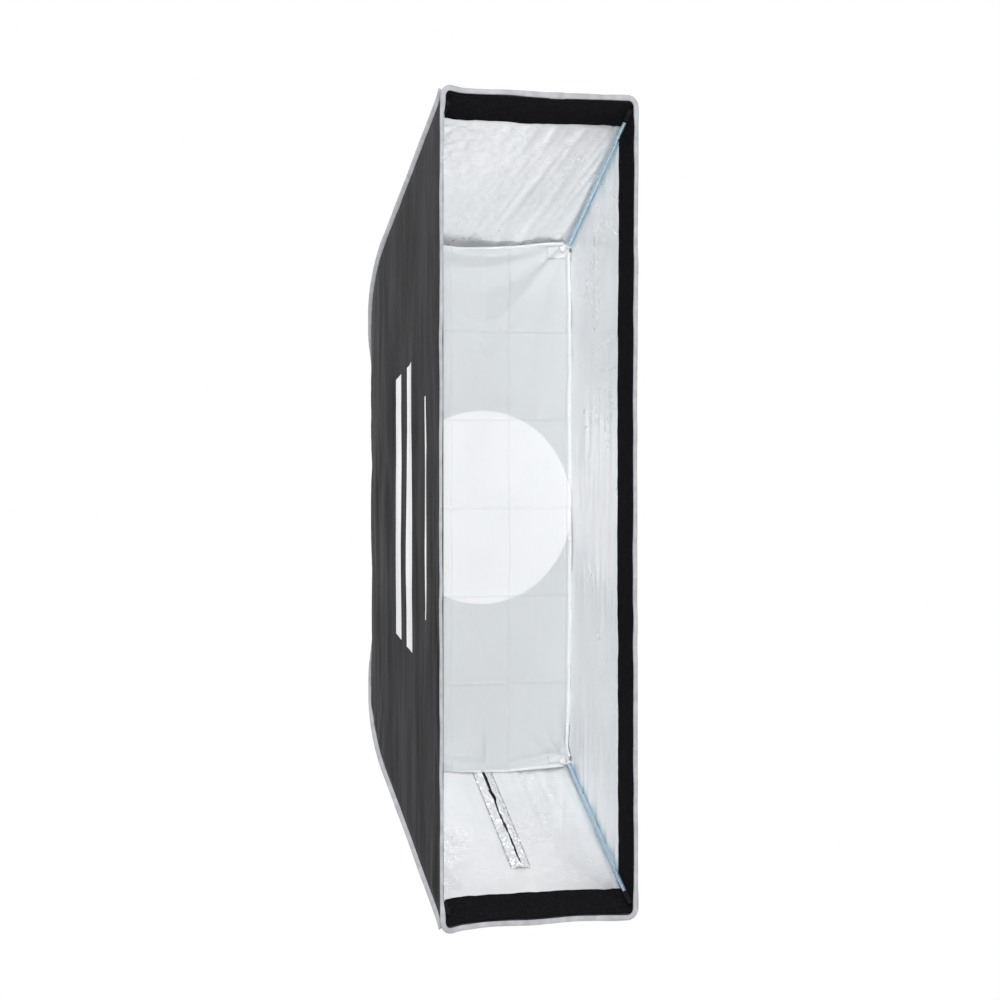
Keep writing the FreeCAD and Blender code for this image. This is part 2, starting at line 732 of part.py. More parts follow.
def make_seam_bindings():
    """Folded tape that stands out along each outer seam."""
    thick = size("piping_thick")
    near = -size("piping_start")
    far = -size("piping_height")
    depth = size("front_hem") + size("piping_setback")
    for corner in CORNERS:
        rows = [seam_edges(corner, inset, depth) for inset in (near, far)]
        closing = [
            Part.LineSegment(*[row[end].Vertexes[end].Point for row in rows]).toShape()
            for end in (0, -1)
        ]
        face = Part.Face(Part.Wire(Part.__sortEdges__(rows[0] + rows[1] + closing)))
        back, inward = seam_axes(*CORNERS[corner])[1:]
        normal = back.cross(inward).normalize()
        face.translate(normal * (-thick / 2))
        shaped("seam_binding_" + corner,
               face.extrude(normal * thick).cut(rear_hole()).Solids[0])


def make_collar():
    """Cloth band that joins the walls' rear edge to the speedring's rim."""
    back = Vector(0, 1, 0)
    front = Vector(0, -size("collar_rear") - size("collar_length"), 0)
    inner = size("ring_radius") + size("collar_gap")
    outer = inner + size("collar_thick")
    band = Part.makeCylinder(outer, size("collar_length"), front, back)
    band = band.cut(Part.makeCylinder(inner, size("collar_length"), front, back))
    shaped("rear_collar", band.cut(tent_solid(size("front_hem"))).Solids[0])


# ---------------------------------------------------------------- diffuser

def make_diffuser():
    """Inner diffuser with a double centre, tied to the rods at its corners."""
    rear = "-dims.open_depth + dims.diffuser_depth"
    sheet_box = box("diffuser_sheet", "-dims.diffuser_width / 2", rear,
                    "-dims.diffuser_height / 2", "dims.diffuser_width", "dims.diffuser_thick",
                    "dims.diffuser_height")
    notches = []
    for corner, (side_x, side_z) in CORNERS.items():
        x_low = "dims.diffuser_width / 2 - dims.notch_width"
        z_low = "dims.diffuser_height / 2 - dims.notch_height"
        notches.append(box(
            "notch_" + corner, x_low if side_x > 0 else "-dims.diffuser_width / 2", rear,
            z_low if side_z > 0 else "-dims.diffuser_height / 2", "dims.notch_width",
            "dims.diffuser_thick", "dims.notch_height"))
    keep(cut("inner_diffuser", sheet_box, notches), "inner_diffuser")
    front = Vector(0, evaluate(rear), 0)
    disc = cylinder("diffuser_disc", "dims.disc_radius", "dims.disc_thick",
                    along(front, Vector(0, -1, 0)))
    keep(disc, "diffuser_disc")
    for corner in CORNERS:
        make_tie(corner)


def make_tie(corner):
    """Loop round a rod with a tab on the diffuser's corner."""
    name = "diffuser_tie_" + corner
    side_x, side_z = CORNERS[corner]
    back = slope_directions(side_z)[0]
    depth = size("diffuser_depth")
    centre = seam_point(corner, size("rod_inset"), depth=depth - size("tab_thick") / 2)
    loop_start = centre - back * (size("tie_length") / 2)
    loop = cylinder(name + "_loop", "dims.rod_hole_radius + dims.tie_wall", "dims.tie_length",
                    along(loop_start, back))
    low_x = centre.x if side_x < 0 else centre.x - size("tab_width")
    low_z = centre.z - size("tab_height") / 2 - side_z * size("tab_height") / 2
    tab = box(name + "_tab", str(low_x), "-dims.open_depth + dims.diffuser_depth"
              " - dims.tab_thick", str(low_z), "dims.tab_width", "dims.tab_thick",
              "dims.tab_height")
    hole = cylinder(name + "_hole", "dims.rod_hole_radius", "2 * dims.tie_length",
                    along(loop_start - back * (size("tie_length") / 2), back))
    keep(cut(name, fuse(name + "_body", [loop, tab]), [hole]), name)


# ---------------------------------------------------------------- zip

def zip_box(name, x_low, y_low, z_low, length, width, height):
    """Box in the zip's own frame."""
    piece = box(name, x_low, y_low, z_low, length, width, height)
    piece.Placement = zip_frame().multiply(piece.Placement)
    return piece


def make_zip_chain():
    """Tapes, coils and end stops, set in the bottom wall's slot."""
    for side, word in ((-1, "left"), (1, "right")):
        tape = zip_box(
            "zip_tape_" + word, "0",
            "dims.coil_outer" if side > 0 else "-dims.zip_half_width",
            "-dims.tape_depth - dims.tape_thick", "dims.zip_length",
            "dims.zip_half_width - dims.coil_outer", "dims.tape_thick")
        keep(tape, tape.Name)
    coils = []
    stops = []
    facings = []
    for side in (-1, 1):
        coils.append(zip_box(
            f"coil_{side + 1}", "dims.coil_end",
            "dims.coil_inner" if side > 0 else "-dims.coil_outer",
            "-dims.coil_depth - dims.coil_thick", "dims.zip_length - 2 * dims.coil_end",
            "dims.coil_outer - dims.coil_inner", "dims.coil_thick"))
        facings.append(zip_box(
            f"facing_{side + 1}", "0",
            "dims.facing_inner" if side > 0 else "-dims.facing_outer",
            "-2 * dims.cloth_layer * cos(dims.seam_lean) - dims.facing_thick",
            "dims.zip_length", "dims.facing_outer - dims.facing_inner", "dims.facing_thick"))
        stops.append(zip_box(
            f"stop_{side + 1}", "0" if side < 0 else "dims.zip_length - dims.coil_end",
            "-dims.coil_outer", "-dims.coil_depth - dims.coil_thick", "dims.coil_end",
            "2 * dims.coil_outer", "dims.coil_thick"))
    group("zip_coil", coils)
    group("zip_stops", stops)
    group("zip_facings", facings)


def make_slider():
    """Slider: two plates joined by a post between the coils, and a pin for the pull."""
    outer = "-dims.coil_depth + dims.slider_gap"
    inner = "-dims.coil_depth - dims.coil_thick - dims.slider_gap - dims.plate_thick"
    start = "dims.slider_at"
    wide = "2 * dims.slider_half"
    pieces = [
        zip_box("slider_outer", start, "-dims.slider_half", outer, "dims.slider_length", wide,
                "dims.plate_thick"),
        zip_box("slider_inner", start, "-dims.slider_half", inner, "dims.slider_length", wide,
                "dims.plate_thick"),
        zip_box("slider_post", start, "-dims.post_half", inner, "dims.post_length",
                "2 * dims.post_half",
                "dims.coil_thick + 2 * dims.slider_gap + 2 * dims.plate_thick"),
    ]
    for side in (-1, 1):
        rail = "dims.slider_half - dims.rail_width" if side > 0 else "-dims.slider_half"
        pieces.append(zip_box(
            f"rail_outer_{side + 1}", start, rail, f"{outer} - dims.rail_height",
            "dims.slider_length", "dims.rail_width", "dims.rail_height"))
        ear = "dims.ear_inner" if side > 0 else "-dims.ear_inner - dims.ear_thick"
        pieces.append(zip_box(
            f"ear_{side + 1}", f"{start} + dims.slider_length / 2 - dims.ear_length / 2", ear,
            f"{outer} + dims.plate_thick", "dims.ear_length", "dims.ear_thick",
            "dims.pin_height + dims.pin_radius - dims.plate_thick"))
    pieces.append(cylinder("slider_pin", "dims.pin_radius",
                           "2 * dims.ear_inner + 2 * dims.ear_thick", pull_axis()))
    keep(fuse("zip_slider", pieces), "zip_slider")


def pull_axis():
    """Placement at the left end of the pull's pin: z runs along the pin to the right."""
    middle = Vector(size("slider_at") + size("slider_length") / 2,
                    -size("ear_inner") - size("ear_thick"),
                    -size("coil_depth") + size("slider_gap") + size("pin_height"))
    return along(zip_frame().multVec(middle), Vector(1, 0, 0))


def make_pull():
    """Pull tab, hanging straight down from the slider's pin."""
    pivot = pull_axis().Base + Vector(size("ear_inner") + size("ear_thick"), 0, 0)
    eye = cylinder("pull_eye", "dims.eye_radius", "2 * dims.neck_half",
                   along(pivot - Vector(size("neck_half"), 0, 0), Vector(1, 0, 0)))
    neck = box("pull_neck", "-dims.neck_half", "-dims.pull_thick / 2",
               "-dims.neck_length", "2 * dims.neck_half", "dims.pull_thick",
               "dims.neck_length")
    blade = box("pull_blade", "-dims.pull_half", "-dims.pull_thick / 2",
                "-dims.pull_length", "2 * dims.pull_half", "dims.pull_thick",
                "dims.pull_length - dims.neck_length")
    for piece in (neck, blade):
        piece.Placement.Base = piece.Placement.Base + pivot
    hole = cylinder("pull_hole", "dims.pin_radius + dims.pin_gap", "4 * dims.neck_half",
                    along(pivot - Vector(2 * size("neck_half"), 0, 0), Vector(1, 0, 0)))
    keep(cut("zip_pull", fuse("zip_pull_body", [eye, neck, blade]), [hole]), "zip_pull")


# ---------------------------------------------------------------- assembly

make_insert()
make_lugs()
make_retainer()
make_speedring()
make_sockets()
make_thumb_screws()
make_rods()
make_walls()
make_lips()
make_front_binding()
make_seam_bindings()
make_collar()
make_diffuser()
make_zip_chain()
make_slider()
make_pull()
doc.recompute()

failed = [item.Name for item in doc.Objects if {"Invalid", "Error"} & set(item.State)]
if failed:
    raise RuntimeError(f"objects that did not compute: {failed}")
for piece in nodes:
    if piece.Shape.isNull() or not piece.Shape.isValid() or piece.Shape.Volume <= 0:
        raise RuntimeError(f"{piece.Label} has no valid solid")

os.makedirs("parts", exist_ok=True)
for piece in nodes:
    piece.Shape.exportStep(f"parts/{piece.Label}.step")
print(f"{len(nodes)} sub-parts written")
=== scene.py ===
"""Strip softbox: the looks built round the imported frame.

Everything is in metres in the row frame: +Y back towards the light, the mouth faces -Y,
Z runs along the mouth's long side.
"""
import json
import math

import bmesh
import bpy
import numpy as np
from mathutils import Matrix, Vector


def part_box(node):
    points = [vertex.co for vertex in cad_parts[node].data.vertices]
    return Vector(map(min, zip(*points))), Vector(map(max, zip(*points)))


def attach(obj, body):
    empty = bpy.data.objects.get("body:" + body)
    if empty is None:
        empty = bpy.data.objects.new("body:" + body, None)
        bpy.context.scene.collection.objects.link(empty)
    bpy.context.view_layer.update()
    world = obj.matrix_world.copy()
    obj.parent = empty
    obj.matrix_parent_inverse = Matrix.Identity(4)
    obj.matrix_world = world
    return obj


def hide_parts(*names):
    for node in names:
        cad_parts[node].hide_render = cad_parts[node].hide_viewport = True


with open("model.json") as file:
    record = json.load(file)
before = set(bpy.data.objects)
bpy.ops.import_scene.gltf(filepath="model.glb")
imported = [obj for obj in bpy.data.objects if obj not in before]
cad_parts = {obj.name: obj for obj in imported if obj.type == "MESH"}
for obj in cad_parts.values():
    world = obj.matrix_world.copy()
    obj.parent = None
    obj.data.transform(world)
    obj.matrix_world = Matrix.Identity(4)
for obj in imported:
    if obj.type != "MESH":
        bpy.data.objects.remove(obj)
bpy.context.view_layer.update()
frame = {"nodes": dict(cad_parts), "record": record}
nodes = frame["nodes"]

SEED = 41

# ---- driving sizes
DEPTH = -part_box("front_binding")[0].y
MOUTH_W = 2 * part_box("outer_panel_top")[1].x
MOUTH_H = 4 * MOUTH_W
SLOPE = math.radians(39)
LEAN = math.radians(32.2)
STRAIGHT = 0.318
BEND_RADIUS = 0.437
BEND = math.radians(50.3)
TAIL = 0.030
SEAM_LENGTH = STRAIGHT + BEND_RADIUS * BEND + TAIL
HEM = 0.004
EDGE = 0.0012
HOLE_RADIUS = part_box("rear_collar")[1].x
ROD_INSET = 0.011
TIE_RADIUS = 0.0043

# fold lines pressed into the diffuser; the shaded line lies just beside the fold
CREASE_PITCH = 0.134
CREASE_PITCH_ACROSS = 0.095
FOLD_SHIFT = 0.045
CREASE_SHIFT = 0.043
CREASE_WIDTH = 0.003

# printed stripes on the long panels: half length, and from and to along the wall
STRIPES = ((0.262, 0.232, 0.262), (0.262, 0.170, 0.200), (0.182, 0.094, 0.100))

CORNERS = {
    "right_top": (1, 1), "right_bottom": (1, -1),
    "left_top": (-1, 1), "left_bottom": (-1, -1),
}
WALLS = {
    "top": ("left_top", "right_top"), "bottom": ("left_bottom", "right_bottom"),
    "left": ("left_bottom", "left_top"), "right": ("right_bottom", "right_top"),
}
LONG_WALLS = ("left", "right")


# ---- seam geometry
def seam_axes(corner):
    """Start of a seam line, its direction backwards and its direction inwards."""
    side_x, side_z = CORNERS[corner]
    start = np.array([side_x * MOUTH_W / 2, -DEPTH, side_z * MOUTH_H / 2])
    back = np.array([0, math.cos(SLOPE), -side_z * math.sin(SLOPE)])
    square = np.array([0, -math.sin(SLOPE), -side_z * math.cos(SLOPE)])
    inward = np.array([-side_x * math.sin(LEAN), 0, 0]) + square * math.cos(LEAN)
    return start, back, inward


def seam(corner, length, inset):
    """Points of a seam line at distances along it, moved in by inset."""
    start, back, inward = seam_axes(corner)
    length = np.asarray(length, float)
    angle = np.clip((length - STRAIGHT) / BEND_RADIUS, 0, BEND)
    run = np.minimum(length, STRAIGHT) + BEND_RADIUS * np.sin(angle)
    rise = BEND_RADIUS * (1 - np.cos(angle))
    tail = np.maximum(length - STRAIGHT - BEND_RADIUS * BEND, 0)
    run = run + tail * np.cos(angle) - inset * np.sin(angle)
    rise = rise + tail * np.sin(angle) + inset * np.cos(angle)
    return start + run[..., None] * back + rise[..., None] * inward


def length_at_depth(depth, inset):
    """Distance along the straight part of a seam to a depth behind the mouth."""
    back_y = math.cos(SLOPE)
    inward_y = -math.sin(SLOPE) * math.cos(LEAN)
    return (depth - inset * inward_y) / back_y


def ruled(side, length, across, inset):
    """Points of a wall: straight lines between its two seams."""
    first, second = WALLS[side]
    share = across[..., None]
    return seam(first, length, inset) * (1 - share) + seam(second, length, inset) * share


def rear_length(side, across, inset):
    """Distance along the wall at which it meets the round rear hole."""
    low = np.full_like(across, STRAIGHT)
    high = np.full_like(across, SEAM_LENGTH)
    for _ in range(30):
        middle = (low + high) / 2
        point = ruled(side, middle, across, inset)
        outside = np.hypot(point[..., 0], point[..., 2]) > HOLE_RADIUS
        low = np.where(outside, middle, low)
        high = np.where(outside, high, middle)
    return low


# ---- fields
def soft_noise(x, y, seed):
    """Smooth random field from -1 to 1 with one cell per unit."""
    table = np.random.default_rng(SEED + seed).uniform(-1, 1, (97, 97))
    x0, y0 = np.floor(x).astype(int), np.floor(y).astype(int)
    fx, fy = x - x0, y - y0
    fx = fx * fx * fx * (fx * (fx * 6 - 15) + 10)
    fy = fy * fy * fy * (fy * (fy * 6 - 15) + 10)
    a = table[x0 % 97, y0 % 97]
    b = table[(x0 + 1) % 97, y0 % 97]
    c = table[x0 % 97, (y0 + 1) % 97]
    d = table[(x0 + 1) % 97, (y0 + 1) % 97]
    return (a * (1 - fx) + b * fx) * (1 - fy) + (c * (1 - fx) + d * fx) * fy


def streaks(along, across, long_cell, short_cell, seed):
    """Folds that run along one direction: long cells one way, short the other."""
    first = soft_noise(along / long_cell, across / short_cell, seed)
    second = soft_noise(along / long_cell * 1.7 + 9, across / short_cell * 2.1 + 5, seed + 1)
    return first + 0.45 * second


def step(low, high, value):
    """Smooth step from 0 to 1."""
    t = np.clip((value - low) / (high - low), 0, 1)
    return t * t * (3 - 2 * t)


# ---- mesh helpers
def grid_object(name, points, uv=None, closed=(False, False), material=None):
    """Quad grid from an array of points, with a UV map in metres."""
    rows, columns = points.shape[:2]
    mesh = bpy.data.meshes.new(name)
    index = np.arange(rows * columns).reshape(rows, columns)
    if closed[0]:
        index = np.vstack([index, index[:1]])
    if closed[1]:
        index = np.hstack([index, index[:, :1]])
    faces = np.stack([index[:-1, :-1], index[1:, :-1], index[1:, 1:], index[:-1, 1:]], -1)
    mesh.from_pydata(points.reshape(-1, 3).tolist(), [], faces.reshape(-1, 4).tolist())
    if uv is not None:
        layer = mesh.uv_layers.new(name="UVMap")
        loops = np.zeros(len(mesh.loops), int)
        mesh.loops.foreach_get("vertex_index", loops)
        layer.data.foreach_set("uv", uv.reshape(-1, 2)[loops].ravel().astype(np.float32))
    mesh.update()
    return smooth_object(name, mesh, material)


def add_object(name, data):
    """Object of a mesh, camera or light, in the scene."""
    obj = bpy.data.objects.new(name, data)
    bpy.context.scene.collection.objects.link(obj)
    return obj


def smooth_object(name, mesh, material=None):
    """Smooth-shaded object of a mesh."""
    mesh.polygons.foreach_set("use_smooth", np.ones(len(mesh.polygons), bool))
    if material:
        mesh.materials.append(material)
    return add_object(name, mesh)


def small_tubes(name, rings, material):
    """Many small closed tubes in one mesh, from points by tube, ring and turn."""
    index = np.arange(rings[..., 0].size).reshape(rings.shape[:3])
    turned = np.roll(index, -1, 2)
    sides = np.stack([index[:, :-1], turned[:, :-1], turned[:, 1:], index[:, 1:]], -1)
    ends = index[:, 0, ::-1].tolist() + index[:, -1].tolist()
    mesh = bpy.data.meshes.new(name)
    mesh.from_pydata(rings.reshape(-1, 3).tolist(), [], sides.reshape(-1, 4).tolist() + ends)
    return smooth_object(name, mesh, material)


def delete_faces(obj, chosen):
    """Remove the faces whose numbers are given."""
    made = bmesh.new()
    made.from_mesh(obj.data)
    made.faces.ensure_lookup_table()
    bmesh.ops.delete(made, geom=[made.faces[k] for k in chosen], context="FACES")
    made.to_mesh(obj.data)
    made.free()


def thicken(obj, thickness, offset=0.0):
    """Give a sheet its cloth thickness."""
    solid = obj.modifiers.new("thickness", "SOLIDIFY")
    solid.thickness = thickness
    solid.offset = offset
    solid.use_quality_normals = True
    return obj


def turns(count):
    """Angles of points set evenly round a circle."""
    return np.linspace(0, 2 * math.pi, count, endpoint=False)


def stacked(*parts):
    """Coordinates joined into points."""
    return np.stack(np.broadcast_arrays(*parts), -1)


def unit(vectors):
    """Vectors scaled to length one."""
    return vectors / np.maximum(np.linalg.norm(vectors, axis=-1, keepdims=True), 1e-12)


def path_frames(points, side_hint, closed=False):
    """Tangent and two cross directions along a path."""
    if closed:
        tangent = np.roll(points, -1, 0) - np.roll(points, 1, 0)
    else:
        tangent = np.gradient(points, axis=0)
    tangent = unit(tangent)
    side = unit(side_hint - (side_hint * tangent).sum(-1, keepdims=True) * tangent)
    return tangent, side, np.cross(tangent, side)


def sweep(name, points, side_hint, section, closed=False, material=None):
    """Section of (side, third) offsets, swept along a path; ends are capped."""
    tangent, side, third = path_frames(points, side_hint, closed)
    section = np.asarray(section)
    if section.ndim == 2:
        section = np.broadcast_to(section, (len(points),) + section.shape)
    rings = (points[:, None] + section[..., :1] * side[:, None]
             + section[..., 1:] * third[:, None])
    steps = np.linalg.norm(np.diff(points, axis=0), axis=1)
    run = np.concatenate([[0], np.cumsum(steps)])
    turn = np.linspace(0, 1, rings.shape[1])
    uv = stacked(run[:, None], 0.01 * turn[None])
    obj = grid_object(name, rings, uv, (closed, True), material)
    if not closed:
        cap_ends(obj)
    return obj


def cap_ends(obj):
    """Close the open ends of a tube."""
    made = bmesh.new()
    made.from_mesh(obj.data)
    rim = [edge for edge in made.edges if edge.is_boundary]
    bmesh.ops.holes_fill(made, edges=rim, sides=0)
    bmesh.ops.recalc_face_normals(made, faces=made.faces)
    made.to_mesh(obj.data)
    made.free()


def oval(width, height, count=16, power=1.0):
    """Points of a rounded section, squarer as power falls below one."""
    turn = turns(count)
    c, s = np.cos(turn), np.sin(turn)
    return np.stack([width / 2 * np.sign(c) * np.abs(c) ** power,
                     height / 2 * np.sign(s) * np.abs(s) ** power], -1)


def put(obj, slot, *replaced, body="softbox"):
    """Ride a piece on its body and hide the CAD parts it stands in for."""
    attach(obj, body)
    if replaced:
        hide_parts(*replaced)
    return obj


# ---- materials
class Shader:
    """Small builder for a procedural Principled material."""

    def __init__(self, name, color, roughness, metallic=0.0, **sockets):
        self.material = bpy.data.materials.new(name)
        self.material.use_nodes = True
        self.tree = self.material.node_tree
        self.shader = self.tree.nodes["Principled BSDF"]
        self.set("Base Color", (*color, 1))
        self.set("Roughness", roughness)
        self.set("Metallic", metallic)
        for key, value in sockets.items():
            self.set(key.replace("_", " "), value)
        self.last_bump = None

    def set(self, socket, value):
        self.shader.inputs[socket].default_value = value

    def node(self, kind, **values):
        made = self.tree.nodes.new(kind)
        for key, value in values.items():
            if key in made.inputs:
                made.inputs[key].default_value = value
            else:
                setattr(made, key, value)
        return made

    def link(self, source, target):
        self.tree.links.new(source, target)

    def coordinates(self, kind="Object", scale=(1, 1, 1)):
        place = self.node("ShaderNodeTexCoord")
        mapping = self.node("ShaderNodeMapping", Scale=scale)
        self.link(place.outputs[kind], mapping.inputs["Vector"])
        return mapping.outputs["Vector"]

    def split_uv(self):
        """The sheet's own flat coordinates, one by one."""
        parts = self.node("ShaderNodeSeparateXYZ")
        self.link(self.coordinates("UV"), parts.inputs["Vector"])
        return parts.outputs

    def noise(self, vector, scale, detail=4, roughness=0.55, distortion=0.0):
        made = self.node("ShaderNodeTexNoise", Scale=scale, Detail=detail, Roughness=roughness,
                         Distortion=distortion)
        self.link(vector, made.inputs["Vector"])
        return made.outputs["Fac"]

    def wave(self, vector, scale, direction="X", distortion=0.0):
        made = self.node("ShaderNodeTexWave", bands_direction=direction, Scale=scale,
                         Distortion=distortion)
        self.link(vector, made.inputs["Vector"])
        return made.outputs["Fac"]

    def math(self, operation, first, second):
        made = self.node("ShaderNodeMath", operation=operation)
        for socket, value in zip(made.inputs, (first, second)):
            if isinstance(value, (int, float)):
                socket.default_value = value
            else:
                self.link(value, socket)
        return made.outputs["Value"]

    def bump(self, height, strength, distance):
        """Add relief on top of the relief that is already there."""
        made = self.node("ShaderNodeBump", Strength=strength, Distance=distance)
        self.link(height, made.inputs["Height"])
        if self.last_bump:
            self.link(self.last_bump, made.inputs["Normal"])
        self.last_bump = made.outputs["Normal"]
        self.link(self.last_bump, self.shader.inputs["Normal"])
        return self

    def shades(self, factor, low, high):
        """Colour between two values."""
        made = self.node("ShaderNodeValToRGB")
        ends = made.color_ramp.elements
        for end, position, color in zip(ends, (0.3, 0.7), (low, high)):
            end.position = position
            end.color = (*color, 1)
        self.link(factor, made.inputs["Fac"])
        return made.outputs["Color"]

    def ramp(self, factor, socket, low, high):
        """Vary a colour or number between two values."""
        if isinstance(low, tuple):
            result = self.shades(factor, low, high)
        else:
            made = self.node("ShaderNodeMapRange")
            for key, value in zip(("From Min", "From Max", "To Min", "To Max"),
                                  (0.3, 0.7, low, high)):
                made.inputs[key].default_value = value
            self.link(factor, made.inputs["Value"])
            result = made.outputs["Result"]
        self.link(result, self.shader.inputs[socket])
        return self

    def creases(self, axis, pitch, shift, width):
        """One along lines set at a pitch, falling to zero beside them."""
        moved = self.math("SUBTRACT", self.split_uv()[axis], shift)
        away = self.math("PINGPONG", moved, pitch / 2)
        return self.math("MAXIMUM", self.math("SUBTRACT", 1, self.math("DIVIDE", away, width)), 0)

    def band(self, coordinate, low, high):
        """One where a coordinate lies between two values."""
        above = self.math("GREATER_THAN", coordinate, low)
        below = self.math("LESS_THAN", coordinate, high)
        return self.math("MULTIPLY", above, below)

    def stripes(self):
        """Plain stripes on the long panels, placed by the sheet's own flat coordinates."""
        place = self.split_uv()
        total = 0.0
        for half, low, high in STRIPES:
            across = self.band(place["X"], MOUTH_H / 2 - half, MOUTH_H / 2 + half)
            along = self.band(place["Y"], low, high)
            total = self.math("MAXIMUM", total, self.math("MULTIPLY", across, along))
        return total

    def weave(self, scale, strength, distance):
        """Plain weave: two crossed sets of fine ridges."""
        vector = self.coordinates("UV")
        warp = self.wave(vector, scale, "X")
        weft = self.wave(vector, scale, "Y")
        return self.bump(self.math("ADD", warp, weft), strength, distance)


def outer_cloth():
    """Charcoal satin with plain white stripes printed on the two long panels; its long lighter and
    darker colour streaks are painted satin sheen.
    """
    made = Shader("outer_cloth", (0.016, 0.016, 0.018), 0.5, Specular_IOR_Level=0.26)
    vector = made.coordinates("Object", (1, 1, 0.12))
    # painted sheen: long lighter and darker streaks in the colour, running along the panels, stand
    # in for the satin's sheen
    shade = made.shades(made.noise(vector, 34, 3), (0.005, 0.005, 0.006),
                        (0.026, 0.025, 0.0275))
    printed = made.node("ShaderNodeMix", data_type="RGBA")
    made.link(made.stripes(), printed.inputs["Factor"])
    made.link(shade, printed.inputs[6])
    printed.inputs[7].default_value = (0.72, 0.72, 0.73, 1)
    made.link(printed.outputs[2], made.shader.inputs["Base Color"])
    made.ramp(made.noise(vector, 60, 2), "Roughness", 0.34, 0.5)
    made.weave(900, 0.2, 0.00015)
    made.bump(made.noise(made.coordinates("Object", (1, 1, 0.25)), 70, 4), 0.2, 0.001)
    return made.material


def silver_cloth():
    """Metallised lining: fine raised lines under small crumples."""
    made = Shader("silver_cloth", (0.86, 0.868, 0.88), 0.3, 0.55)
    fine = made.coordinates()
    made.ramp(made.noise(fine, 9, 4), "Roughness", 0.24, 0.38)
    made.ramp(made.noise(fine, 6, 3), "Base Color", (0.80, 0.808, 0.822), (0.90, 0.905, 0.912))
    made.bump(made.wave(made.coordinates("UV"), 57, "Y", 0.8), 0.22, 0.0005)
    made.bump(made.noise(fine, 70, 2, 0.5), 0.5, 0.0018)
    return made.material


def foil_tape():
    """Shiny crumpled foil."""
    made = Shader("foil_tape", (0.97, 0.972, 0.98), 0.2, 0.7)
    fine = made.coordinates()
    made.ramp(made.noise(fine, 60, 4), "Roughness", 0.12, 0.3)
    made.bump(made.noise(fine, 110, 4, 0.55, 1.2), 1.0, 0.0040)
    return made.material


def loop_pile():
    """Black loop tape: a matt pile."""
    made = Shader("loop_pile", (0.008, 0.008, 0.009), 0.95, Specular_IOR_Level=0.04)
    fine = made.coordinates()
    made.ramp(made.noise(fine, 420, 3), "Base Color", (0.003, 0.003, 0.0036),
              (0.0105, 0.010, 0.0115))
    made.bump(made.noise(fine, 900, 3, 0.7), 0.8, 0.0012)
    return made.material


def binding_tape():
    """Light grey ribbed tape."""
    made = Shader("binding_tape", (0.42, 0.43, 0.46), 0.7, Specular_IOR_Level=0.3)
    made.ramp(made.noise(made.coordinates(), 60, 3), "Base Color",
              (0.29, 0.295, 0.31), (0.40, 0.405, 0.42))
    made.bump(made.wave(made.coordinates("UV"), 300, "X"), 0.4, 0.0004)
    made.bump(made.wave(made.coordinates("UV"), 90, "Y"), 0.3, 0.0004)
    made.bump(made.noise(made.coordinates(), 120, 3), 0.35, 0.0015)
    return made.material


def thin_white(name, color, glow, depth, through):
    """White diffusing cloth that lets light through."""
    made = Shader(name, color, 0.85, Specular_IOR_Level=0.2)
    made.set("Subsurface Weight", glow)
    made.set("Subsurface Radius", (1, 1, 1))
    made.set("Subsurface Scale", depth)
    made.set("Transmission Weight", through)
    made.set("IOR", 1.05)
    fine = made.coordinates()
    made.ramp(made.noise(fine, 7, 3), "Base Color", tuple(0.965 * c for c in color), color)
    made.bump(made.noise(fine, 30, 3), 0.25, 0.0015)
    folded = made.math("ADD", made.creases("Y", CREASE_PITCH, 0, CREASE_WIDTH),
                       made.creases("X", CREASE_PITCH_ACROSS, CREASE_SHIFT, CREASE_WIDTH))
    made.bump(folded, 0.8, 0.0011)
    made.bump(made.noise(fine, 1400, 2), 0.1, 0.0001)
    return made.material


def hard_surface(name, color, low, high, metallic=1.0, spots=(90, 4),
                 grain=(400, 3, 0.08, 0.0002)):
    """Metal, paint or plastic: polish that varies a little over a fine grain."""
    made = Shader(name, color, (low + high) / 2, metallic)
    vector = made.coordinates()
    made.ramp(made.noise(vector, *spots), "Roughness", low, high)
    if grain:
        made.bump(made.noise(vector, *grain[:2]), *grain[2:])
    return made.material


def plastic(name, color, roughness):
    """Moulded plastic with a fine grain."""
    return hard_surface(name, color, roughness * 0.85, roughness * 1.15, 0.0, (60, 3),
                        (1500, 2, 0.25, 0.0002))


def black_webbing():
    """Narrow woven black tape."""
    made = Shader("black_webbing", (0.008, 0.008, 0.009), 0.9, Specular_IOR_Level=0.08)
    fine = made.coordinates()
    made.ramp(made.noise(fine, 200, 3), "Base Color", (0.005, 0.005, 0.006),
              (0.012, 0.012, 0.013))
    made.bump(made.wave(fine, 260, "DIAGONAL"), 0.5, 0.0003)
    made.bump(made.noise(fine, 900, 2), 0.4, 0.0003)
    return made.material


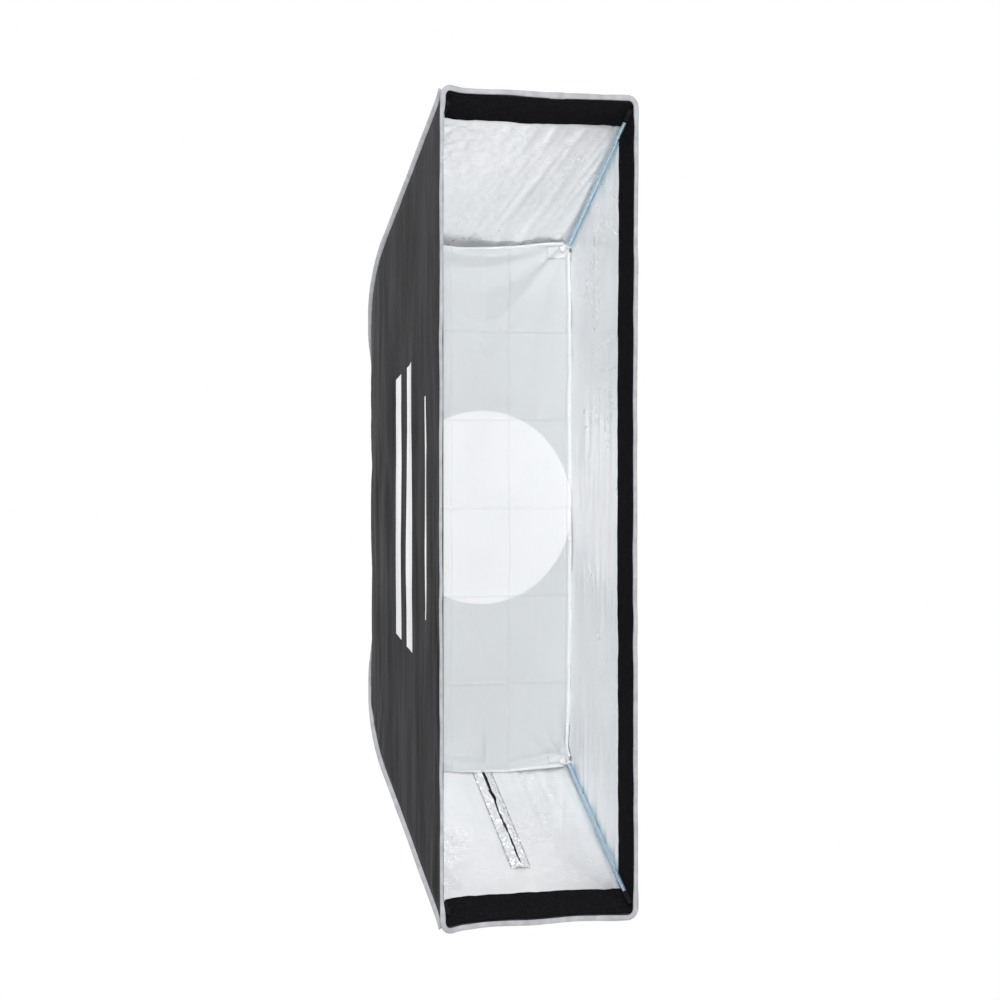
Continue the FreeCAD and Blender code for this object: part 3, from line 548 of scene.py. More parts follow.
MATERIALS = {
    "outer_cloth": outer_cloth(),
    "silver_cloth": silver_cloth(),
    "foil": foil_tape(),
    "loop_tape": loop_pile(),
    "binding_tape": binding_tape(),
    "diffuser_cloth": thin_white("diffuser_cloth", (0.80, 0.825, 0.838), 0.3, 0.0010,
                                  0.45),
    "disc_cloth": thin_white("disc_cloth", (0.92, 0.93, 0.94), 0.2, 0.0006, 0.36),
    "hem_cloth": thin_white("hem_cloth", (0.86, 0.875, 0.885), 0.2, 0.0006, 0.35),
    "mount_aluminium": hard_surface("mount_aluminium", (0.62, 0.63, 0.65), 0.28, 0.42),
    "lug_steel": hard_surface("lug_steel", (0.55, 0.55, 0.57), 0.25, 0.4),
    "fastener_steel": hard_surface("fastener_steel", (0.5, 0.5, 0.52), 0.25, 0.42),
    "ring_black": hard_surface("powder_coat", (0.022, 0.022, 0.024), 0.4, 0.58, 0.0,
                               (30, 3), (1100, 2, 0.35, 0.0003)),
    "socket_metal": hard_surface("socket_metal", (0.6, 0.61, 0.63), 0.3, 0.45),
    "knob_plastic": plastic("knob_plastic", (0.02, 0.02, 0.021), 0.5),
    "rod_steel": hard_surface("rod_steel", (0.47, 0.64, 0.75), 0.26, 0.34, 0.75, grain=None),
    # painted highlight: the rod tips are coloured light white where the bare steel ends show a
    # white highlight
    "tip_plastic": plastic("tip_plastic", (0.78, 0.78, 0.76), 0.35),
    "pocket_webbing": black_webbing(),
    "zip_black": black_webbing(),
    "zip_metal": hard_surface("zip_metal", (0.05, 0.05, 0.055), 0.3, 0.45),
}


def dress_cad_nodes():
    """Give every CAD node its procedural material."""
    for row in frame["record"]["subparts"]:
        obj = nodes[row["node"]]
        material = MATERIALS[row["material_slot"]]
        obj.data.materials.clear()
        obj.data.materials.append(material)


# ---- shared wall shape
BOW_BACK = 0.009
SIDE_BOW = 0.002
FLARE = 0.0028
FLARE_DEPTH = 0.014
DIP = 0.0025
POKE = 0.003
SETTLE_DEPTH = 0.24
BELLY = 0.0006
WALL_ROWS = 170
WALL_COLUMNS = {"top": 100, "bottom": 100, "left": 330, "right": 330}
LINING_INSET = 0.0033
LINING_EDGE = 0.024
OUTWARD_LIMIT = 0.0009
LIP_INSET = 0.0056
LIP_EDGE_INSET = 0.0014
LIP_BLEND = 0.020
LIP_DEPTH = {
    side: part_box("lip_strip_" + side)[1].y + DEPTH for side in WALLS
}
INWARD = {
    "top": np.array([0, 0, -1.0]), "bottom": np.array([0, 0, 1.0]),
    "left": np.array([1.0, 0, 0]), "right": np.array([-1.0, 0, 0]),
}


def settle(points):
    """How the mouth's soft edge really lies: sides bowed back, ends dipped, corners proud."""
    moved = points.copy()
    depth = np.clip(points[..., 1] + DEPTH, 0, None)
    fade = 1 - step(0, SETTLE_DEPTH, depth)
    x = points[..., 0] / (MOUTH_W / 2)
    z = points[..., 2] / (MOUTH_H / 2 - np.minimum(depth, 0.3) * math.tan(SLOPE))
    on_long = step(0.88, 1.0, np.abs(x)) * fade
    on_short = step(0.94, 1.0, np.abs(z)) * fade
    middle = np.clip(1 - z * z, 0, 1)
    moved[..., 1] += BOW_BACK * middle * on_long
    moved[..., 0] += SIDE_BOW * middle * on_long
    dip = DIP * np.clip(1 - x ** 4, 0, 1) - 0.0012 - np.where(z < 0, 0.0016, 0.0)
    dip = dip - POKE * (1 - step(-1.0, -0.8, x)) + 0.0006 * np.sin(x * 7 + z)
    moved[..., 2] -= np.sign(z) * dip * on_short
    return moved


def flare(points):
    """The long edges spread a little where they run into the mouth's tape."""
    depth = np.clip(points[..., 1] + DEPTH, 0, None)
    near = FLARE * np.exp(-(depth / FLARE_DEPTH) ** 2)
    points[..., 0] += near * np.clip(points[..., 0] / (MOUTH_W / 2), -1, 1) ** 3
    return points


def wall_points(side, length, across, inset):
    """Wall points with the shape that all its layers share."""
    points = ruled(side, length, across, inset)
    middle = np.clip(1 - (2 * across - 1) ** 2, 0, 1)
    belly = BELLY * middle * step(0.05, 0.3, length) * (1 - step(0.45, 0.66, length))
    points += belly[..., None] * INWARD[side]
    return flare(settle(points))


def wall_grid(side, inset, rows=WALL_ROWS, columns=None, first=None, last=None):
    """Length and across arrays that cover a wall, with closer rows near the mouth."""
    across = np.linspace(0, 1, columns or WALL_COLUMNS[side])
    start = length_at_depth(EDGE, inset) if first is None else first
    end = rear_length(side, across, inset) if last is None else np.full_like(across, last)
    share = np.linspace(0, 1, rows)[:, None]
    if last is None:
        share = share ** 1.35
    length = start + (end[None] - start) * share
    return length, np.broadcast_to(across[None], length.shape).copy()


def wall_normals(points, side):
    """Unit normals that point into the box."""
    along = np.gradient(points, axis=0)
    over = np.gradient(points, axis=1)
    normal = unit(np.cross(along, over))
    centre = (normal * INWARD[side]).sum(-1).mean()
    return normal if centre > 0 else -normal


def wall_width(side):
    """Width of a wall at the mouth."""
    return MOUTH_H if side in LONG_WALLS else MOUTH_W


def wall_uv(length, across, side):
    """UV in metres: across the wall and along it."""
    return np.stack([across * wall_width(side), length], -1)


def edge_calm(across, margin):
    """Zero at the seams, one inside."""
    return step(0, margin, across) * step(0, margin, 1 - across)


# In the folds, each noise has its cell sizes in metres and a seed, and is multiplied by its
# height in metres; step and exp say where on the wall it lies.
def outer_folds(side, length, across):
    """Folds of the outer cloth; they only stand outwards."""
    run = across * wall_width(side)
    near_mouth = np.exp(-np.maximum(length - HEM, 0) / 0.05)
    fold = streaks(run, length, 0.16, 0.012, 11) * 0.0022 * near_mouth
    wide = streaks(run, length, 0.28, 0.04, 21) * 0.0022
    fine = streaks(run, length, 0.07, 0.008, 31) * 0.00022
    rear = streaks(length, run, 0.12, 0.025, 41) * 0.0014 * step(0.45, 0.68, length)
    calm = edge_calm(across, 0.015 if side in LONG_WALLS else 0.05)
    return -np.abs(fold + wide + fine + rear) * calm


def side_gathers(run, length, across):
    """Upright gathers at mid height of a long wall, fewer near its upper end."""
    gathers = streaks(run, length, 0.13, 0.0105, 61) * 0.0019
    where = step(0.25, 0.40, across) * step(0.27, 0.42, 1 - across)
    where = where + 0.4 * step(0.80, 0.9, 1 - across) + 0.12
    return gathers * where + streaks(run, length, 0.2, 0.02, 71) * 0.0006


def top_creases(run, length):
    """Long slanted creases of the top wall, with a crumpled patch at its left."""
    crease = streaks(length - 0.24 * run, run + 0.24 * length, 0.15, 0.015, 81)
    crumple = soft_noise(run / 0.012, length / 0.007, 83) * 0.0022
    patch = np.exp(-(run / 0.09) ** 2 - ((length - 0.08) / 0.05) ** 2)
    return crease * 0.0016 * step(0.08, 0.2, run) + crumple * patch


def drawn_folds(fold, run, length):
    """Folds of the bottom wall, drawn out by its rods and calm along the zip."""
    fold = fold + streaks(length, run, 0.11, 0.012, 85) * 0.0008
    drawn = streaks(length + 0.6 * run, run - 0.4 * length, 0.10, 0.009, 87) * 0.0010
    fold = fold + drawn * np.exp(-((run - 0.25) / 0.035) ** 2)
    drawn = streaks(length - 0.5 * run, run + 0.3 * length, 0.07, 0.010, 89) * 0.0010
    fold = fold + drawn * np.exp(-((run - 0.03) / 0.05) ** 2)
    near_zip = np.exp(-((run - MOUTH_W / 2) / 0.018) ** 4) * step(0.08, 0.1, length)
    return fold * (1 - near_zip * (1 - step(0.31, 0.33, length)))


def corner_rays(run, length, width):
    """Folds that run out from the corners of the mouth."""
    from_corner = np.minimum(run, width - run)
    angle = np.arctan2(length, np.maximum(from_corner, 1e-4))
    reach = np.hypot(length, from_corner)
    rays = soft_noise(angle * 9, reach * 3, 91) * 0.0012 * np.exp(-reach / 0.16)
    return rays * step(0.03, 0.08, reach)


def lining_folds(side, length, across):
    """Folds of the silver lining, different on each wall."""
    width = wall_width(side)
    run = across * width
    fold = soft_noise(run / 0.010, length / 0.009, 51) * 0.00022
    fold = fold + soft_noise(run / 0.021, length / 0.019, 52) * 0.0004
    if side in LONG_WALLS:
        fold = fold + side_gathers(run, length, across)
    elif side == "top":
        fold = fold + top_creases(run, length)
    else:
        fold = drawn_folds(fold, run, length)
    fold = fold + corner_rays(run, length, width)
    lip_end = LIP_DEPTH[side] / math.cos(SLOPE)
    fold = fold * (0.12 + 0.88 * step(lip_end, lip_end + 0.03, length))
    outwards = np.minimum(fold, 0)
    fold = np.where(fold < 0, OUTWARD_LIMIT * (np.exp(outwards / OUTWARD_LIMIT) - 1), fold)
    return fold * edge_calm(across, 0.012 if side in LONG_WALLS else 0.04)


def make_walls():
    """Outer panels and silver linings."""
    for side in WALLS:
        for label, inset, edge, material, folds in (
            ("outer_panel_", 0.0, EDGE, "outer_cloth", outer_folds),
            ("silver_lining_", LINING_INSET, LINING_EDGE, "silver_cloth", lining_folds),
        ):
            first = length_at_depth(edge, inset)
            length, across = wall_grid(side, inset, first=first)
            points = wall_points(side, length, across, inset)
            depth = folds(side, length, across)
            points = points + wall_normals(points, side) * depth[..., None]
            obj = grid_object("cloth_" + label + side, points, wall_uv(length, across, side),
                              material=MATERIALS[material])
            if side == "bottom":
                cut_zip_slot(obj)
            put(obj, material, label + side)


# ---- zip frame
ZIP_HALF = -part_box("zip_tape_left")[0].x
ZIP_BACK = np.array([0, math.cos(SLOPE), math.sin(SLOPE)])
ZIP_OUT = np.array([0, math.sin(SLOPE), -math.cos(SLOPE)])
ZIP_START = 0.104
ZIP_LENGTH = 0.206
FACING_WIDTH = 0.0160
FACING_PAST_ZIP = 0.004
STITCH_SIDE = 0.0150
STITCH_LIFT = 0.0041
STITCH_PITCH = 0.0042
STITCH_LENGTH = 0.0026
STITCH_RADIUS = 0.0004
TOOTH_PITCH = 0.0026
ZIP_ORIGIN = np.array([0, -DEPTH, -MOUTH_H / 2]) + ZIP_BACK * ZIP_START


def zip_point(along, side, out):
    """Point in the row frame from the zip's own directions."""
    along, side, out = np.broadcast_arrays(along, side, out)
    return (ZIP_ORIGIN + along[..., None] * ZIP_BACK + out[..., None] * ZIP_OUT
            + side[..., None] * np.array([1.0, 0, 0]))


def cut_zip_slot(obj):
    """Remove the bottom wall's faces over the zip."""
    centres = np.array([face.center for face in obj.data.polygons])
    along = (centres - ZIP_ORIGIN) @ ZIP_BACK
    over = (np.abs(centres[:, 0]) < ZIP_HALF - 0.001) & (along > 0) & (along < ZIP_LENGTH)
    delete_faces(obj, np.flatnonzero(over))


def make_zip_facings():
    """Crumpled foil strips over the inside of the zip, with a thin wavy gap between."""
    along = np.linspace(-FACING_PAST_ZIP, ZIP_LENGTH + FACING_PAST_ZIP, 150)[:, None]
    gap_centre = 0.0008 * np.sin(along / 0.030) + 0.0022 * np.exp(
        -((along - 0.138) / 0.010) ** 2)
    closed = 1 - step(0.0, 0.010, along)
    for sign, word in ((-1, "left"), (1, "right")):
        share = np.linspace(0, 1, 14)[None]
        half_gap = 0.0013 + 0.0015 * step(0.125, 0.15, along)
        edge = gap_centre + sign * half_gap * (1 - closed)
        edge = edge + 0.0005 * soft_noise(along / 0.007, along * 0, 151 + sign)
        outer = sign * FACING_WIDTH
        side = outer + (edge - outer) * share
        lift = 0.0036 + 0.0026 * step(0.1, 1.0, share)
        crumple = soft_noise(along / 0.006, share * 4 + sign * 9, 161) * 0.0009
        crumple = crumple + soft_noise(along / 0.014, share * 2 + sign * 5, 163) * 0.0009
        lift = lift + crumple * step(0.0, 0.25, share) + 0.0008 * closed * share
        points = zip_point(along, side, -np.maximum(lift, 0.0034))
        uv = stacked(along, side)
        obj = grid_object("zip_facing_" + word, points, uv, material=MATERIALS["foil"])
        put(obj, "silver_cloth", *(["zip_facings"] if sign < 0 else []))


def make_stitches(name, side):
    """Thread stitches along one of the zip's facings."""
    marks = np.arange(STITCH_PITCH / 2, ZIP_LENGTH, STITCH_PITCH)[:, None, None]
    place, swell = np.array([[-0.5, 0.3], [-0.36, 1], [0.36, 1], [0.5, 0.3]]).T[..., None]
    turn = turns(6)
    rings = zip_point(marks + STITCH_LENGTH * place,
                      side - STITCH_RADIUS * swell * np.sin(turn),
                      STITCH_RADIUS * swell * np.cos(turn) - STITCH_LIFT)
    return small_tubes(name, rings, MATERIALS["zip_black"])


def make_zip_details():
    """Facing stitches, woven tapes and interlocked teeth."""
    for sign, word in ((-1, "left"), (1, "right")):
        put(make_stitches("zip_stitches_" + word, sign * STITCH_SIDE), "zip_black")
        across = np.linspace(0.0029, 0.0122, 8)[None]
        run = np.linspace(0, ZIP_LENGTH, 90)[:, None]
        wave = 0.00025 * soft_noise(run / 0.02, across / 0.01, 171 + sign)
        points = zip_point(run, sign * across, wave - 0.0012)
        uv = stacked(run, across)
        tape = grid_object("zip_woven_tape_" + word, points, uv,
                           material=MATERIALS["zip_black"])
        thicken(tape, 0.0008)
        put(tape, "zip_black", "zip_tape_" + word)
    make_teeth()


def make_teeth():
    """Zip teeth: rounded bars that reach in from each tape in turn."""
    marks = np.arange(0.004, ZIP_LENGTH - 0.004, TOOTH_PITCH)[:, None, None]
    across, swell = np.array([[0.0042, 0.75], [0.0034, 1], [0.0010, 1], [0.0007, 0.7]]).T[..., None]
    along, out = oval(0.0016, 0.0018, 8, 0.8).T
    rows = [zip_point(marks + shift + swell * along, sign * across, swell * out - 0.0013)
            for sign, shift in ((-1, 0), (1, TOOTH_PITCH / 2))]
    obj = small_tubes("zip_teeth", np.concatenate(rows), MATERIALS["zip_metal"])
    put(obj, "zip_black", "zip_coil")


# ---- lips
def make_lips():
    """Loop-tape strips inside the mouth, with a slightly uneven sewn edge."""
    for side in WALLS:
        long_side = side in LONG_WALLS
        start = length_at_depth(0.001, LIP_INSET)
        end = length_at_depth(LIP_DEPTH[side], LIP_INSET)
        columns = 360 if long_side else 110
        rows = 16
        length, across = wall_grid(side, LIP_INSET, rows, columns, start, end)
        run = across * wall_width(side)
        ragged = streaks(run, run * 0, 0.016, 1, 101) * 0.0011
        ragged = ragged + soft_noise(run / 0.09, run * 0, 103) * 0.0014
        length = length + ragged * np.linspace(0, 1, rows)[:, None]
        blend = step(0, LIP_BLEND, length - start)
        inset = LIP_EDGE_INSET + (LIP_INSET - LIP_EDGE_INSET) * blend
        points = wall_points(side, length, across, inset)
        swell = streaks(run, length, 0.05, 0.02, 111) * 0.0005 * edge_calm(across, 0.03) * blend
        points = points + wall_normals(points, side) * swell[..., None]
        obj = grid_object("lip_" + side, points, wall_uv(length, across, side),
                          material=MATERIALS["loop_tape"])
        thicken(obj, 0.0011)
        put(obj, "loop_tape", "lip_strip_" + side)


POCKET_START = 0.004
POCKET_LENGTH = 0.022
POCKET_SIZE = (0.0088, 0.0084)


def make_pockets():
    """Webbing sleeves round the rods' tips, in the corners of the mouth."""
    for corner in CORNERS:
        first = length_at_depth(POCKET_START, ROD_INSET)
        length = first + np.linspace(0, POCKET_LENGTH, 16)
        path = seam(corner, length, ROD_INSET)
        hint = seam(corner, length, 0.0) - seam(corner, length, 0.01)
        size = np.concatenate([[0.55, 0.85, 0.97], np.ones(11), [1.04, 0.98]])
        section = oval(*POCKET_SIZE, 20, 0.62)[None] * size[:, None, None]
        obj = sweep("rod_pocket_" + corner, path, hint, section,
                    material=MATERIALS["pocket_webbing"])
        put(obj, "pocket_webbing", "corner_pocket_" + corner)


# ---- bindings
TAPE_OFFSET = 0.0026
TAPE_CORNER = 0.014
TAPE_WIDTH = {"top": 0.0082, "left": 0.0048, "right": 0.0066}
TAPE_THICKNESS = 0.0040
TAPE_WANDER = 0.0005
SEAM_TAPE = (0.0078, 0.0026)
SEAM_TAPE_OUT = 0.0040


def rim_path():
    """Closed path along the middle of the mouth's tape."""
    half = np.array([MOUTH_W / 2, MOUTH_H / 2]) + TAPE_OFFSET - TAPE_CORNER
    signs = [(1, 1), (-1, 1), (-1, -1), (1, -1)]
    points = []
    for turn, sign in enumerate(signs):
        centre = half * np.array(sign)
        for angle in np.linspace(0, math.pi / 2, 12) + math.pi / 2 * turn:
            points.append(centre + TAPE_CORNER * np.array([math.cos(angle), math.sin(angle)]))
        start = points[-1]
        goal = start - centre + half * np.array(signs[(turn + 1) % 4])
        count = 200 if turn % 2 == 1 else 60
        for share in np.linspace(0, 1, count)[1:-1]:
            points.append((1 - share) * start + share * goal)
    flat = np.array(points)
    return np.stack([flat[:, 0], np.full(len(flat), -DEPTH + HEM / 2), flat[:, 1]], -1)


def make_front_binding():
    """Folded tape round the mouth: a flattened loop in section, a little uneven."""
    path = rim_path()
    count = len(path)
    step_length = np.linalg.norm(np.roll(path, -1, 0) - path, axis=1)
    run = np.concatenate([[0], np.cumsum(step_length)[:-1]])
    path = settle(path)
    path[:, 1] += soft_noise(run / 0.08, run * 0, 121) * TAPE_WANDER
    tangent = unit(np.roll(path, -1, 0) - np.roll(path, 1, 0))
    outward = unit(np.cross(tangent, np.array([0, 1.0, 0])))
    if (outward * path).sum() < 0:
        outward = -outward
    path += outward * (soft_noise(run / 0.035, run * 0, 123) * TAPE_WANDER)[:, None]
    on_side = 1 - step(MOUTH_H / 2 - 0.045, MOUTH_H / 2 - 0.012, np.abs(path[:, 2]))
    side_width = np.where(path[:, 0] < 0, TAPE_WIDTH["left"], TAPE_WIDTH["right"])
    width = TAPE_WIDTH["top"] + (side_width - TAPE_WIDTH["top"]) * on_side
    path += outward * (TAPE_WIDTH["top"] - width)[:, None] / 2
    sections = np.broadcast_to(oval(1, TAPE_THICKNESS, 20, 0.75), (count, 20, 2)).copy()
    sections[..., 0] *= width[:, None]
    overlap = (path[:, 2] > 0.55) & (path[:, 0] > 0.012) & (path[:, 0] < 0.036)
    scale = 1 + 0.08 * soft_noise(run / 0.03, run * 0 + 3, 131) + 0.16 * overlap
    sections *= scale[:, None, None]
    obj = sweep("front_binding_tape", path, outward, sections, True, MATERIALS["binding_tape"])
    put(obj, "binding_tape", "front_binding")


def make_seam_bindings():
    """Folded tape standing out along each outer seam."""
    for corner in CORNERS:
        side = corner.split("_")[0]
        start = length_at_depth(HEM + 0.002, 0)
        share = np.array([1.0 if corner.endswith("top") else 0.0])
        end = rear_length(side, share, 0)[0]
        length = np.linspace(start, end, 190)
        wave = soft_noise(length / 0.03, length * 0, 141)
        path = flare(settle(seam(corner, length, -SEAM_TAPE_OUT - 0.0004 * wave)))
        hint = seam(corner, length, -0.01) - seam(corner, length, 0.0)
        section = oval(*SEAM_TAPE, 16, 0.8)
        obj = sweep("seam_binding_tape_" + corner, path, hint, section,
                    material=MATERIALS["binding_tape"])
        put(obj, "binding_tape", "seam_binding_" + corner)


def make_collar():
    """Gathered cloth band round the speedring's rim, with a taped rear edge."""
    low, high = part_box("rear_collar")
    turn = turns(360)[None]
    back = np.linspace(low.y - 0.020, high.y, 40)[:, None]
    pleat = soft_noise(turn * 40 / (2 * math.pi), back / 0.05, 181)
    pleat = pleat * np.cos(turn / 2) ** 2 + np.roll(pleat, 180, 1) * np.sin(turn / 2) ** 2
    radius = high.x - 0.0006 + 0.0006 * pleat * step(high.y - 0.004, high.y - 0.02, back)
    hem = (back > high.y - 0.006) * 0.0005
    radius = radius + hem
    points = stacked(radius * np.cos(turn), back, radius * np.sin(turn))
    uv = stacked(turn * high.x, back)
    obj = grid_object("collar_cloth", points, uv, (False, True), MATERIALS["outer_cloth"])
    put(obj, "outer_cloth", "rear_collar")


# ---- inner diffuser
sheet_low, sheet_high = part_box("inner_diffuser")
SHEET_HALF = np.array([sheet_high.x, sheet_high.z])
SHEET_FRONT = sheet_low.y
SHEET_CLOTH = {
    "quality": 6, "mass": 0.02, "air_damping": 1.5, "tension_stiffness": 25,
    "compression_stiffness": 25, "shear_stiffness": 8, "bending_stiffness": 0.25,
    "shrink_min": -0.005,
}
HEM_WIDTH = 0.0055
STRAP_LENGTH = 0.017
STRAP_SIZE = (0.0085, 0.0012)
LOOP_SIZE = (0.0016, 0.0062)
SAG_LIMIT = 0.009
TOP_SAG = 0.004
PULL_FOLD = 0.0060
PULL_REACH = 0.20
WALL_CLEARANCE = 0.0050
SIDE_REACH = 0.1477
CORNER_CUT = np.array([0.012, 0.016])
SIM_FRAMES = 36
SHEET_CELLS = (60, 164)


def sheet_grid(finer):
    """Flat coordinates of the diffuser's grid."""
    x, z = [np.linspace(-half, half, cells * finer + 1)
            for half, cells in zip(SHEET_HALF, SHEET_CELLS)]
    return np.meshgrid(x, z, indexing="ij")


def corner_share(x, z):
    """Over one in the cut-off corners."""
    edge = SHEET_HALF - CORNER_CUT
    return ((np.abs(x) - edge[0]) / CORNER_CUT[0] * (np.abs(x) > edge[0])
            + (np.abs(z) - edge[1]) / CORNER_CUT[1] * (np.abs(z) > edge[1])) * (
                (np.abs(x) > edge[0]) & (np.abs(z) > edge[1]))


def hang_sheet(x, z):
    """Diffuser held at its corners, sagging under its own weight."""
    start = np.stack([x, SHEET_FRONT + 0.0012 * soft_noise(x / 0.05, z / 0.07, 191), z], -1)
    grid = grid_object("hanging_sheet", start)
    near = np.hypot(np.abs(x) - (SHEET_HALF[0] - CORNER_CUT[0] / 2),
                    np.abs(z) - (SHEET_HALF[1] - CORNER_CUT[1] / 2)) < 0.013
    group = grid.vertex_groups.new(name="held")
    group.add([int(k) for k in np.flatnonzero(near.ravel())], 1.0, "REPLACE")
    cloth = grid.modifiers.new("cloth", "CLOTH")
    for key, value in SHEET_CLOTH.items():
        setattr(cloth.settings, key, value)
    cloth.settings.vertex_group_mass = "held"
    cloth.collision_settings.use_collision = False
    cloth.point_cache.frame_start = 1
    cloth.point_cache.frame_end = SIM_FRAMES
    scene = bpy.context.scene
    for number in range(1, SIM_FRAMES + 1):
        scene.frame_set(number)
    shown = grid.evaluated_get(bpy.context.evaluated_depsgraph_get())
    found = np.zeros(len(shown.data.vertices) * 3)
    shown.data.vertices.foreach_get("co", found)
    points = found.reshape(start.shape)
    data = grid.data
    bpy.data.objects.remove(grid)
    bpy.data.meshes.remove(data)
    scene.frame_set(1)
    return points


def press_sheet(points):
    """Limit the sag and keep the hung sheet clear of the walls."""
    points = points.copy()
    away = points[..., 1] - SHEET_FRONT
    points[..., 1] = SHEET_FRONT + SAG_LIMIT * np.tanh(away / SAG_LIMIT)
    x, z = points[..., 0].copy(), points[..., 2].copy()
    sag = np.exp((z / SHEET_HALF[1] - 1) / 0.07 - ((x + 0.045) / 0.055) ** 2)
    points[..., 2] -= TOP_SAG * sag
    points[..., 1] -= TOP_SAG * sag
    points[..., 1] += 0.0022 * soft_noise(x / 0.055 + z / 0.11, z / 0.075, 193)
    away_x, away_z = SHEET_HALF[0] - np.abs(x), SHEET_HALF[1] - np.abs(z)
    reach = np.hypot(away_x, away_z)
    angle = np.arctan2(away_z, away_x) + 2.0 * (x > 0) + 5.0 * (z > 0)
    pull = soft_noise(angle * 4, reach * 4, 195) * step(0.0, 0.05, reach)
    points[..., 1] += PULL_FOLD * pull * np.exp(-(reach / PULL_REACH) ** 2)
    half = (points[-1, :, 0] - points[0, :, 0]) / 2
    centre = (points[-1, :, 0] + points[0, :, 0]) / 2
    points[..., 0] = (points[..., 0] - centre) * SIDE_REACH / half + 0.3 * centre
    depth = points[..., 1] + DEPTH
    wall = MOUTH_H / 2 - depth * math.tan(SLOPE) - WALL_CLEARANCE
    points[..., 2] = np.clip(points[..., 2], -wall, wall)
    return points


def spline_weights(share):
    """Weights of the four neighbours for smooth interpolation."""
    square, cube = share * share, share ** 3
    return (-0.5 * share + square - 0.5 * cube, 1 - 2.5 * square + 1.5 * cube,
            0.5 * share + 2 * square - 1.5 * cube, -0.5 * square + 0.5 * cube)


def sample_sheet(points, x, z, front):
    """Points on the hung sheet at flat coordinates, with its fold lines, moved forwards."""
    place = [np.clip((value / half + 1) / 2, 0, 1) * cells
             for value, half, cells in zip((x, z), SHEET_HALF, SHEET_CELLS)]
    whole = [np.minimum(value.astype(int), cells - 1)
             for value, cells in zip(place, SHEET_CELLS)]
    weights = [spline_weights(value - start) for value, start in zip(place, whole)]
    found = 0
    for a in range(4):
        i = np.clip(whole[0] + a - 1, 0, SHEET_CELLS[0])
        for b in range(4):
            j = np.clip(whole[1] + b - 1, 0, SHEET_CELLS[1])
            found = found + points[i, j] * (weights[0][a] * weights[1][b])[..., None]
    found[..., 1] -= 0.0014 * np.abs(np.sin(math.pi * z / CREASE_PITCH))
    found[..., 1] -= 0.0009 * np.abs(np.sin(math.pi * (x - FOLD_SHIFT) / CREASE_PITCH_ACROSS))
    found[..., 1] -= front
    return found


def make_diffuser():
    """Inner diffuser: hanging sheet, hem, double centre and corner ties."""
    points = press_sheet(hang_sheet(*sheet_grid(1)))
    x, z = sheet_grid(2)
    sheet = grid_object("diffuser_sheet", sample_sheet(points, x, z, 0.0),
                        np.stack([x, z], -1), material=MATERIALS["diffuser_cloth"])
    share = corner_share((x[1:, 1:] + x[:-1, :-1]) / 2, (z[1:, 1:] + z[:-1, :-1]) / 2)
    delete_faces(sheet, np.flatnonzero(share > 1))
    thicken(sheet, 0.0003)
    put(sheet, "diffuser_cloth", "inner_diffuser")
    make_hems(points)
    make_disc(points)
    make_ties(points)


def make_hems(points):
    """Turned hem along each edge of the diffuser."""
    for name, sign, axis in (("left", -1, 0), ("right", 1, 0), ("bottom", -1, 1),
                             ("top", 1, 1)):
        other = 1 - axis
        reach = SHEET_HALF[other] - CORNER_CUT[other]
        count = 300 if axis == 0 else 110
        along = np.linspace(-reach, reach, count)[:, None]
        across = SHEET_HALF[axis] - HEM_WIDTH * np.linspace(0, 1, 5)[None]
        across = sign * (across + 0.0004 * soft_noise(along / 0.02, along * 0, 201))
        along, across = np.broadcast_arrays(along, across)
        x, z = (across, along) if axis == 0 else (along, across)
        strip = sample_sheet(points, x, z, 0.0006)
        uv = np.stack([along, across], -1)
        obj = grid_object("diffuser_hem_" + name, strip, uv, material=MATERIALS["hem_cloth"])
        thicken(obj, 0.0005)
        put(obj, "diffuser_cloth")


def make_disc(points):
    """Second round layer sewn over the diffuser's centre."""
    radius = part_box("diffuser_disc")[1].x
    rings = np.linspace(0.0, 1, 48)[:, None] * radius
    turn = turns(160)[None]
    rings = np.maximum(rings, 0.0005)
    x, z = rings * np.cos(turn), rings * np.sin(turn)
    found = sample_sheet(points, x, z, 0.0009)
    uv = np.stack([x, z], -1)
    obj = grid_object("diffuser_disc_cloth", found, uv, (False, True),
                      MATERIALS["disc_cloth"])
    put(obj, "disc_cloth", "diffuser_disc")


